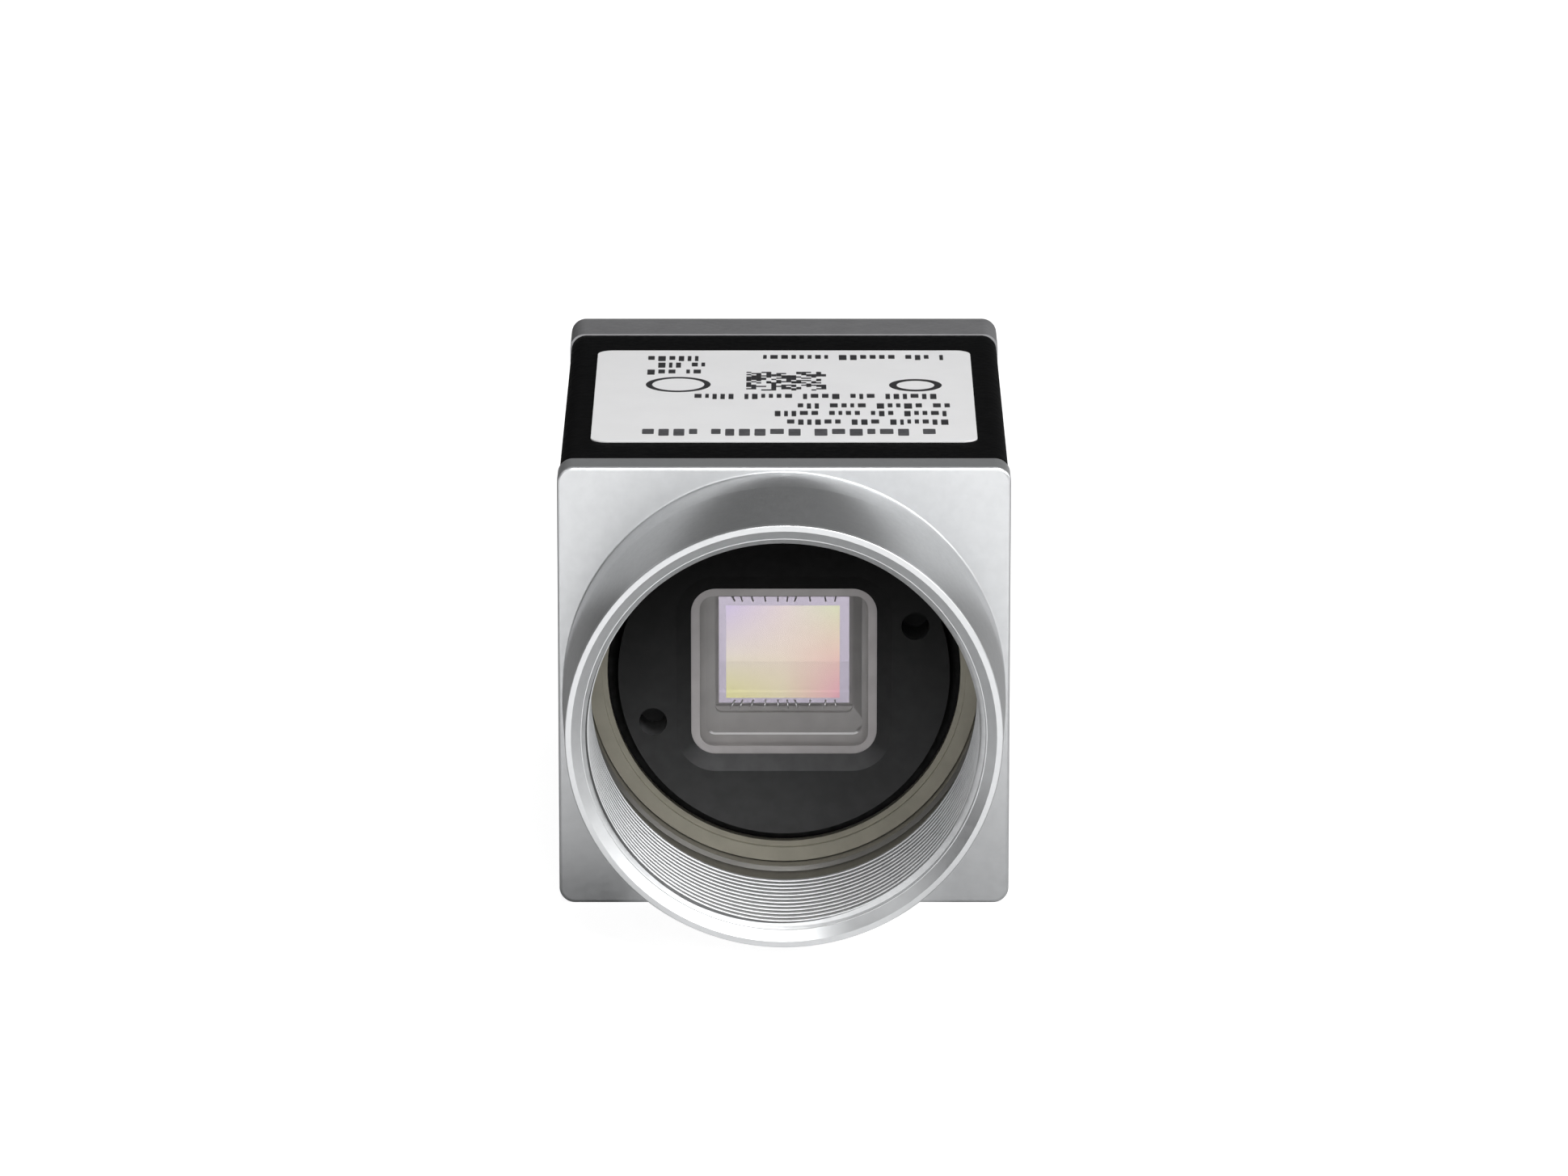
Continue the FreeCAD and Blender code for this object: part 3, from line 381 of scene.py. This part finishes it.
def thread_alloy():
    """The mount's alloy, with painted shade between the thread's crests."""
    finish = plain_finish("thread_alloy", (0.68, 0.69, 0.70), 0.46, metallic=0.75, grain=16000, relief=0.2e-6)
    # Painted shade in the thread's grooves, past the lead-in.
    deep = finish.fade(finish.axis_distance(), *GROOVE_RADII)
    past_lead_in = finish.fade(finish.coordinate("Y"), *GROOVE_FRONT)
    finish.shade(finish.maths("MULTIPLY", deep, past_lead_in), grey(0.12))
    return finish.material


def black_coating():
    return plain_finish("black_coating", (0.003, 0.003, 0.0032), 0.6, grain=7000, relief=1.2e-6,
                        mottle=0.12, Specular_IOR_Level=0.04).material


def grey_coating():
    """Satin coating, with a painted highlight on the narrow step that faces forward."""
    finish = plain_finish("grey_coating", (0.19, 0.19, 0.195), 0.5, metallic=0.3, grain=8000, relief=1.0e-6)
    # Painted highlight on the step that faces forward.
    finish.shade(finish.fade(finish.facing("Y"), *FORWARDS), grey(2.2))
    return finish.material


def screw_steel():
    return plain_finish("screw_steel", (0.30, 0.30, 0.31), 0.33, metallic=1.0, grain=14000,
                        relief=0.4e-6).material


# ---------------------------------------------------------------- finishes of the label
def label_film():
    return plain_finish("label_film", (0.76, 0.76, 0.765), 0.5, grain=2500, relief=0.8e-6,
                        mottle=0.012).material


def ink(name, colour):
    return plain_finish(name, colour, 0.5, grain=12000, relief=0.4e-6, mottle=0.2).material


def label_ink():
    return ink("label_ink", (0.02, 0.02, 0.022))


def label_grey_ink():
    return ink("label_grey_ink", (0.065, 0.065, 0.07))


# ---------------------------------------------------------------- finishes behind the lens mount
def khaki_metal():
    return plain_finish("khaki_metal", (0.43, 0.41, 0.34), 0.5, metallic=0.35).material


def holder_black():
    """Matt black with painted shade: darkest at the top, paling towards the foot, and deeper on faces that do
    not look up.
    """
    finish = plain_finish("holder_black", (0.21, 0.21, 0.214), 0.6, grain=11000, relief=1.0e-6,
                          mottle=0.06, Specular_IOR_Level=0.06)
    # Painted shade that deepens towards the top, under the mount.
    finish.shade(finish.fade(finish.coordinate("Z"), *HOLDER_HEIGHTS), grey(0.05))
    # Painted shade on faces that do not look up, so the upward bevel stays lighter.
    finish.shade(finish.fade(finish.facing("Z"), *NOT_UPWARDS), grey(0.36))
    return finish.material


def seal_rubber():
    return plain_finish("seal_rubber", (0.004, 0.004, 0.004), 0.8, grain=6000, relief=1.5e-6).material


def gasket_silicone():
    return plain_finish("gasket_silicone", (0.62, 0.59, 0.59), 0.6, grain=8000).material


def package_ceramic():
    return plain_finish("package_ceramic", (0.62, 0.60, 0.59), 0.6, relief=1.2e-6).material


def clear_glass(name, tint, veil):
    """Nearly clear glass under a faint even veil."""
    finish = Finish(name, IOR=1.5, Alpha=veil)
    finish.mottled(finish.noise(300, detail=1.0), tint, 0.03)
    finish.roughness(finish.noise(1500), 0.28, 0.34)
    return finish


def filter_glass():
    return clear_glass("filter_glass", (0.62, 0.60, 0.60), 0.06).material


def cover_glass():
    """The lower bevel turns nearly opaque and glows faintly: a painted glint, as a glass plate's edge catches
    the light that comes up from below.
    """
    veil = 0.03
    finish = clear_glass("cover_glass", (0.95, 0.95, 0.95), veil)
    # Painted glint on the lower bevel.
    bevel = finish.fade(finish.facing("Z"), *DOWNWARDS)
    finish.link(finish.spread(bevel, veil, 0.9, 0, 1), finish.shader.inputs["Alpha"])
    finish.link(finish.spread(bevel, 0, 0.3, 0, 1), finish.shader.inputs["Emission Strength"])
    finish.shader.inputs["Emission Color"].default_value = (1, 1, 1, 1)
    return finish.material


# ---------------------------------------------------------------- finishes of the image sensor
def painted_chip_reflections(finish):
    """Painted reflections on the chip: a deeper tone below a set height, and a paler narrow stripe."""
    height = finish.coordinate("Z")
    # Painted reflection: a deeper tone below a set height.
    finish.shade(finish.fade(height, *PAINTED_REFLECTION_EDGE), (0.92, 0.92, 0.93))
    from_stripe = finish.maths("ABSOLUTE", finish.maths("SUBTRACT", height, STRIPE_HEIGHT))
    # Painted reflection: a paler narrow stripe.
    finish.shade(finish.fade(from_stripe, *STRIPE_EDGE), grey(0.93))


def sensor_silicon():
    finish = plain_finish("sensor_silicon", (0.66, 0.60, 0.72), 0.25, metallic=0.92, grain=2500,
                          relief=0.03e-6, mottle=0.015, uneven=0.02)
    # Painted reflections on the die.
    painted_chip_reflections(finish)
    return finish.material


def bond_pad():
    return plain_finish("bond_pad", (0.40, 0.33, 0.30), 0.4, metallic=0.3, grain=20000,
                        relief=0.1e-6).material


def gold():
    return plain_finish("gold", (0.55, 0.42, 0.22), 0.3, metallic=1.0, grain=20000, relief=0.2e-6).material


# ---------------------------------------------------------------- finishes of boards and sockets
def tin():
    return plain_finish("tin", (0.62, 0.62, 0.60), 0.35, metallic=1.0, grain=20000).material


def circuit_board():
    """Green mask over a fine net of tracks."""
    finish = Finish("circuit_board")
    tracks = finish.node("ShaderNodeTexBrick")
    tracks.inputs["Scale"].default_value = 700
    tracks.inputs["Mortar Size"].default_value = 0.03
    tracks.inputs["Color1"].default_value = (0.012, 0.065, 0.03, 1)
    tracks.inputs["Color2"].default_value = (0.014, 0.08, 0.036, 1)
    tracks.inputs["Mortar"].default_value = (0.03, 0.13, 0.06, 1)
    finish.link(finish.place, tracks.inputs["Vector"])
    finish.colour(tracks.outputs["Color"])
    finish.roughness(finish.noise(2500), 0.3, 0.42)
    finish.bump(tracks.outputs["Fac"], 4e-6, strength=0.3)
    return finish.material


def chip_plastic():
    return plain_finish("chip_plastic", (0.02, 0.02, 0.022), 0.55, relief=2e-6, mottle=0.15).material


def link_plastic():
    return plain_finish("link_plastic", (0.62, 0.56, 0.42), 0.5, grain=6000).material


def ferrite():
    return plain_finish("ferrite", (0.035, 0.033, 0.032), 0.6, grain=5000, relief=3e-6).material


def capacitor_ceramic():
    return plain_finish("capacitor_ceramic", (0.36, 0.25, 0.16), 0.4).material


def nickel_brass():
    return plain_finish("nickel_brass", (0.60, 0.59, 0.57), 0.34, metallic=0.9, grain=30000,
                        relief=0.1e-6, mottle=0.02).material


def connector_black():
    return plain_finish("connector_black", (0.014, 0.014, 0.015), 0.45, grain=7000, relief=1.5e-6,
                        mottle=0.15).material


def light_pipe():
    return plain_finish("light_pipe", (0.78, 0.80, 0.80), 0.12, grain=3000, relief=0.2e-6,
                        mottle=0.02, Transmission_Weight=0.6).material


def led_body():
    return plain_finish("led_body", (0.75, 0.74, 0.66), 0.4).material


FINISHES = [
    silver_alloy, black_coating, grey_coating, label_film, khaki_metal, holder_black, seal_rubber,
    gasket_silicone, package_ceramic, filter_glass, cover_glass, sensor_silicon, gold, tin, circuit_board,
    chip_plastic, link_plastic, ferrite, capacitor_ceramic, nickel_brass, screw_steel, connector_black,
    light_pipe, led_body,
]
finishes = {make.__name__: make() for make in FINISHES}
for node in nodes.values():
    slot = node.data.materials[0].name.split(".")[0]
    node.data.materials[0] = finishes[slot]
nodes["front_housing"].data.materials[0] = mount_alloy()


# ---------------------------------------------------------------- shared mesh code
def new_piece(name, mesh_maker, material, replaced=()):
    """Object from a bmesh, riding on the body, with a finish and a slot."""
    shape = bmesh.new()
    mesh_maker(shape)
    bmesh.ops.recalc_face_normals(shape, faces=shape.faces)
    mesh = bpy.data.meshes.new(name)
    shape.to_mesh(mesh)
    shape.free()
    mesh.materials.append(material)
    piece = bpy.data.objects.new(name, mesh)
    bpy.context.scene.collection.objects.link(piece)
    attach(piece, "root")
    if replaced:
        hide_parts(*replaced)
    return piece


def smooth(piece, angle):
    """Smooth shading, with edges over an angle in degrees left sharp."""
    piece.data.polygons.foreach_set("use_smooth", [True] * len(piece.data.polygons))
    piece.data.set_sharp_from_angle(angle=math.radians(angle))


def join_rings(shape, rings):
    """Bands of faces between rings of vertices that follow each other."""
    for first, second in zip(rings, rings[1:]):
        for index in range(len(first)):
            after = (index + 1) % len(first)
            shape.faces.new((first[index], first[after], second[after], second[index]))


def capped(shape, rings):
    """Closed body over rings of vertices."""
    join_rings(shape, rings)
    shape.faces.new(rings[0])
    shape.faces.new(rings[-1])


def rounded_outline(width, length, radius, steps):
    """Rectangle with round corners as a list of points, centred."""
    points = []
    for quarter in range(4):
        cx = (width / 2 - radius) * (1 if quarter in (0, 3) else -1)
        cy = (length / 2 - radius) * (1 if quarter in (0, 1) else -1)
        for step in range(steps + 1):
            angle = math.radians(90 * quarter + 90 * step / steps)
            points.append((cx + radius * math.cos(angle), cy + radius * math.sin(angle)))
    return points


def moved(outline, across, along):
    return [(x + across, y + along) for x, y in outline]


# ---------------------------------------------------------------- lens thread
def thread_radius(y, share):
    """Radius of the threaded wall at a depth, for a share of a turn round the axis."""
    phase = ((y - THREAD_START) / THREAD_PITCH - share) % 1.0 * THREAD_PITCH
    from_root = min(phase, THREAD_PITCH - phase) - THREAD_ROOT / 2
    ridge = min(max(from_root / THREAD_FLANK, 0.0), 1.0) * THREAD_DEPTH
    root = BORE_RADIUS - SKIN
    cone_share = min(max((y - THREAD_START) / (LEAD_IN_END - THREAD_START), 0.0), 1.0)
    cone = LEAD_IN_RADIUS + (root - THREAD_DEPTH - LEAD_IN_RADIUS) * cone_share
    run_out = root - THREAD_DEPTH * min(max((THREAD_END - y) / RUN_OUT, 0.0), 1.0)
    return max(root - ridge, cone, run_out)


def around(radius, y, share):
    """Point on the thread's wall, at a share of a turn from the top."""
    angle = 2 * math.pi * share
    return (radius * math.sin(angle), y, radius * math.cos(angle))


def thread_offsets():
    """Depths within one pitch at which the thread's profile has points, from the middle of a root."""
    half_root = THREAD_ROOT / 2
    crest_start = half_root + THREAD_FLANK
    crest = THREAD_PITCH - 2 * crest_start
    offsets = [-half_root, half_root, half_root + THREAD_FLANK / 2]
    offsets += [crest_start + crest * step / CREST_STEPS for step in range(CREST_STEPS + 1)]
    offsets += [THREAD_PITCH - half_root - THREAD_FLANK / 2]
    return offsets


def thread_rows(shape, offsets):
    """Rows of vertices along the helix, one for each point of the profile on each turn."""
    turns = math.ceil((THREAD_END - THREAD_START) / THREAD_PITCH) + 1
    rows = []
    for turn in range(-1, turns):
        for offset in offsets:
            row = []
            for step in range(TURN_STEPS):
                share = step / TURN_STEPS
                y = THREAD_START + (turn + share) * THREAD_PITCH + offset
                y = min(max(y, THREAD_START), THREAD_END)
                row.append(shape.verts.new(around(thread_radius(y, share), y, share)))
            rows.append(row)
    return rows


def thread_mesh(shape):
    """Ridges that climb along a helix, closed by a plain wall inside the housing's metal."""
    offsets = thread_offsets()
    rows = thread_rows(shape, offsets)
    a_turn = len(offsets)
    for index in range(len(rows) - 1 - a_turn):
        near, far = rows[index], rows[index + 1]
        for step in range(TURN_STEPS - 1):
            shape.faces.new((near[step], near[step + 1], far[step + 1], far[step]))
        next_near, next_far = rows[index + a_turn], rows[index + a_turn + 1]
        shape.faces.new((near[-1], next_near[0], next_far[0], far[-1]))
    wall = [(thread_radius(THREAD_START, 0), THREAD_START), (THREAD_BACK, THREAD_START),
            (THREAD_BACK, THREAD_END), (thread_radius(THREAD_END, 0), THREAD_END)]
    rings = []
    for radius, y in wall:
        places = [around(radius, y, step / TURN_STEPS) for step in range(TURN_STEPS)]
        rings.append([shape.verts.new(place) for place in places])
    join_rings(shape, rings)
    bmesh.ops.remove_doubles(shape, verts=shape.verts, dist=WELD_REACH)
    bmesh.ops.dissolve_degenerate(shape, edges=shape.edges, dist=SHORTEST_EDGE)
    loose = [vertex for vertex in shape.verts if not vertex.link_faces]
    bmesh.ops.delete(shape, geom=loose, context="VERTS")


thread = new_piece("lens_thread", thread_mesh, thread_alloy())
smooth(thread, angle=25)

# ---------------------------------------------------------------- label and its print
label_low, label_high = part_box("label")
label_middle = (label_low + label_high) / 2
label_size = label_high - label_low
ink_face = label_high.z - INK_THICKNESS


def label_mesh(shape):
    """Thin plate with round corners, its top edge drawn in by a fine lip."""
    outline = rounded_outline(label_size.x, label_size.y, LABEL_CORNER, LABEL_CORNER_STEPS)
    rings = []
    for z, inset in ((label_low.z, 0), (ink_face - LABEL_LIP, 0), (ink_face, LABEL_LIP)):
        ring = []
        for x, y in outline:
            share = 1 - inset / math.hypot(x, y)
            ring.append(shape.verts.new((label_middle.x + x * share, label_middle.y + y * share, z)))
        rings.append(ring)
    capped(shape, rings)


def ink_slab(shape, outline):
    capped(shape, [[shape.verts.new((x, y, z)) for x, y in outline] for z in (ink_face, label_high.z)])


def print_row(shape, dice, row, style):
    """Row of upright blocks in groups, in place of a line of print."""
    x, right, behind = row
    middle = label_low.y + behind + style.height / 2
    while x < right - style.wide:
        for _ in range(dice.choice(GROUP_LENGTHS)):
            width = dice.uniform(style.narrow, style.wide)
            if x + width > right:
                break
            tall = style.height * dice.choice(BLOCK_HEIGHTS)
            block = rounded_outline(width, tall, BLOCK_CORNER * style.narrow, BLOCK_CORNER_STEPS)
            ink_slab(shape, moved(block, x + width / 2, middle + (style.height - tall) / 2))
            x += width + style.gap
        x += GROUP_GAP * style.gap


def large_line_mesh(shape):
    print_row(shape, random.Random(LARGE_SEED), LARGE_ROW, LARGE_PRINT)


def small_lines_mesh(shape):
    dice = random.Random(SMALL_SEED)
    for row in SMALL_ROWS:
        print_row(shape, dice, row, SMALL_PRINT)


def code_mesh(shape):
    """Field of small squares, filled by the throw of a seeded dice."""
    dice = random.Random(CODE_SEED)
    square = rounded_outline(CODE_SQUARE, CODE_SQUARE, CODE_CORNER, CODE_CORNER_STEPS)
    for column in range(CODE_CELLS):
        for row in range(CODE_CELLS):
            if dice.random() < CODE_FILL:
                x = CODE_LEFT + (column + 0.5) * CODE_CELL
                y = label_low.y + CODE_FRONT + (row + 0.5) * CODE_CELL
                ink_slab(shape, moved(square, x, y))


def ring_marks_mesh(shape):
    """Two plain rings."""
    turn = [2 * math.pi * step / RING_STEPS for step in range(RING_STEPS)]
    for x, behind, radius, width in RING_MARKS:
        y = label_low.y + behind
        rings = []
        for reach, z in ((radius, ink_face), (radius, label_high.z),
                         (radius - width, label_high.z), (radius - width, ink_face)):
            places = [(x + reach * math.cos(angle), y + reach * math.sin(angle), z) for angle in turn]
            rings.append([shape.verts.new(place) for place in places])
        join_rings(shape, [*rings, rings[0]])


black_ink = label_ink()
new_piece("label_plate", label_mesh, finishes["label_film"], ["label"])
new_piece("label_large_line", large_line_mesh, label_grey_ink())
new_piece("label_small_lines", small_lines_mesh, black_ink)
new_piece("label_code_field", code_mesh, black_ink)
new_piece("label_ring_marks", ring_marks_mesh, black_ink)

# ---------------------------------------------------------------- image sensor
die_low, die_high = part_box("sensor_die")
die_middle = (die_low + die_high) / 2
array_x = die_middle.x + ARRAY_X
array_z = die_middle.z + ARRAY_Z


def facing_slab(shape, outline, thickness):
    """Closed slab that stands on the die's face and faces the lens."""
    depths = (die_low.y - thickness, die_low.y)
    capped(shape, [[shape.verts.new((x, y, z)) for x, z in outline] for y in depths])


def pixel_array_mesh(shape):
    outline = rounded_outline(ARRAY_WIDTH, ARRAY_HEIGHT, CHIP_CORNER, CHIP_CORNER_STEPS)
    facing_slab(shape, moved(outline, array_x, array_z), ARRAY_LAYER)


def colour_ramp(finish, position, colours):
    """Colour that runs through three others across a surface."""
    ramp = finish.node("ShaderNodeValToRGB")
    left, right = ramp.color_ramp.elements
    left.color = (*colours[0], 1)
    right.color = (*colours[2], 1)
    ramp.color_ramp.elements.new(0.5).color = (*colours[1], 1)
    finish.link(position, ramp.inputs[0])
    return ramp.outputs[0]


def pixel_array_finish():
    """Painted interference sheen: pale colours that drift from corner to corner."""
    finish = Finish("pixel_array", Metallic=0.92)
    across = finish.fade(finish.coordinate("X"), array_x - ARRAY_WIDTH / 2, array_x + ARRAY_WIDTH / 2)
    up = finish.fade(finish.coordinate("Z"), array_z - ARRAY_HEIGHT / 2, array_z + ARRAY_HEIGHT / 2)
    foot, half_way, top = (colour_ramp(finish, across, colours)
                           for colours in (SHEEN_AT_FOOT, SHEEN_HALF_WAY, SHEEN_AT_TOP))
    lower = finish.blend(finish.fade(up, 0.0, 0.5), foot, half_way)
    finish.colour(finish.blend(finish.fade(up, 0.5, 1.0), lower, top))
    # Painted reflections on the array.
    painted_chip_reflections(finish)
    finish.roughness(finish.noise(3000), 0.245, 0.255)
    finish.bump(finish.noise(2500), 0.03e-6)
    return finish.material


def bond_pads_mesh(shape):
    """Pads under the wires' ends, along the die's lower and upper edges."""
    outline = rounded_outline(PAD_SIZE, PAD_SIZE, CHIP_CORNER, CHIP_CORNER_STEPS)
    for x in PAD_PLACES:
        for z in (die_low.z + PAD_INSETS[-1], die_high.z - PAD_INSETS[1]):
            facing_slab(shape, moved(outline, x, z), PAD_LAYER)


def wire_mesh(shape, start, end):
    """Bent round rod between two points, bowed towards the lens."""
    rings = []
    for station in range(WIRE_STATIONS):
        share = station / (WIRE_STATIONS - 1)
        middle = start.lerp(end, share)
        middle.y -= WIRE_ARCH * math.sin(math.pi * share)
        along = (end - start).normalized()
        along.y = -math.cos(math.pi * share) * WIRE_SLOPE
        along.normalize()
        across = along.cross(Vector((0, 1, 0))).normalized()
        outwards = across.cross(along)
        ring = []
        for side in range(WIRE_SIDES):
            angle = 2 * math.pi * side / WIRE_SIDES
            spoke = across * math.cos(angle) + outwards * math.sin(angle)
            ring.append(shape.verts.new(middle + spoke * WIRE_RADIUS))
        rings.append(ring)
    capped(shape, rings)


def bond_wires_mesh(shape):
    """Low arches from the pads on the die to the package's ledge."""
    ledge_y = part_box("bond_wires")[1].y - WIRE_RADIUS
    for x, shift in zip(PAD_PLACES, LEDGE_SHIFTS):
        for edge, out in ((die_low.z, -1), (die_high.z, 1)):
            pad = Vector((x, die_low.y - WIRE_RADIUS, edge - out * PAD_INSETS[out]))
            ledge = Vector((x + shift, ledge_y, edge + out * WIRE_LEDGE))
            wire_mesh(shape, pad, ledge)


def bond_wire():
    """Fine wire, with painted shade on the upper row for the mount's shade; the lower row keeps the wire's
    pale colour.
    """
    finish = plain_finish("bond_wire", (0.95, 0.94, 0.95), 0.3, metallic=0.9, grain=20000, relief=0.1e-6)
    # Painted shade on the upper row of wires.
    shaded = finish.fade(finish.coordinate("Z"), die_middle.z - MM, die_middle.z + MM)
    finish.shade(shaded, (0.12, 0.11, 0.11))
    return finish.material


new_piece("pixel_array", pixel_array_mesh, pixel_array_finish())
new_piece("bond_pads", bond_pads_mesh, bond_pad())
wires = new_piece("bond_wires_fine", bond_wires_mesh, bond_wire(), ["bond_wires"])
smooth(wires, angle=40)


# ---------------------------------------------------------------- stage, camera and light
def pale_floor():
    """Plain floor that keeps the object's shadow, white to the camera and bright in metal and glass."""
    finish = Finish("pale_floor", Base_Color=(0.35, 0.35, 0.35, 1), Roughness=0.9)
    rays = finish.node("ShaderNodeLightPath").outputs
    to_camera = finish.maths("MULTIPLY", rays["Is Camera Ray"], CAMERA_GLOW)
    ahead = finish.spread(finish.coordinate("Y"), 0, MIRROR_GLOW, *GLOW_EDGE)
    aside = finish.maths("ABSOLUTE", finish.coordinate("X"))
    under = finish.spread(aside, 0, UNDER_GLOW, *UNDER_EDGE)
    mirrored = finish.maths("MAXIMUM", rays["Is Glossy Ray"], rays["Is Transmission Ray"])
    in_mirrors = finish.maths("MULTIPLY", mirrored, finish.maths("MAXIMUM", ahead, under))
    glow = finish.node("ShaderNodeEmission")
    finish.link(finish.maths("MAXIMUM", to_camera, in_mirrors), glow.inputs["Strength"])
    both = finish.node("ShaderNodeAddShader")
    finish.link(finish.shader.outputs[0], both.inputs[0])
    finish.link(glow.outputs[0], both.inputs[1])
    finish.link(both.outputs[0], finish.tree.nodes["Material Output"].inputs["Surface"])
    return finish.material


def make_floor():
    lowest = cad_box[0].z
    corners = [(x * FLOOR_REACH, y * FLOOR_REACH, lowest) for x, y in ((-1, -1), (1, -1), (1, 1), (-1, 1))]
    mesh = bpy.data.meshes.new("floor")
    mesh.from_pydata(corners, [], [(0, 1, 2, 3)])
    mesh.materials.append(pale_floor())
    floor = bpy.data.objects.new("floor", mesh)
    bpy.context.scene.collection.objects.link(floor)


def make_camera():
    data = bpy.data.cameras.new("camera")
    data.sensor_width = CAMERA_SENSOR
    data.lens = CAMERA_LENS
    data.clip_start, data.clip_end = CAMERA_RANGE
    camera = bpy.data.objects.new("camera", data)
    camera.location = CAMERA_PLACE
    camera.rotation_euler = (math.radians(90 - CAMERA_DIP), 0, 0)
    bpy.context.scene.collection.objects.link(camera)
    bpy.context.scene.camera = camera


def make_lamp(lamp):
    """Soft lamp that faces the object."""
    side, height = math.radians(lamp.azimuth), math.radians(lamp.elevation)
    away = Vector((math.cos(height) * math.sin(side), -math.cos(height) * math.cos(side), math.sin(height)))
    data = bpy.data.lights.new(lamp.name, "AREA")
    data.shape = "RECTANGLE"
    data.size, data.size_y = lamp.size
    data.energy = lamp.watts
    placed = bpy.data.objects.new(lamp.name, data)
    placed.location = away * lamp.distance
    placed.rotation_euler = away.to_track_quat("Z", "Y").to_euler()
    bpy.context.scene.collection.objects.link(placed)


def make_world():
    world = bpy.data.worlds.new("world")
    world.use_nodes = True
    background = world.node_tree.nodes["Background"]
    background.inputs["Color"].default_value = (1, 1, 1, 1)
    background.inputs["Strength"].default_value = WORLD_LEVEL
    bpy.context.scene.world = world


make_floor()
make_camera()
make_world()
for lamp in LAMPS:
    make_lamp(lamp)
bpy.context.scene.view_settings.view_transform = "Standard"
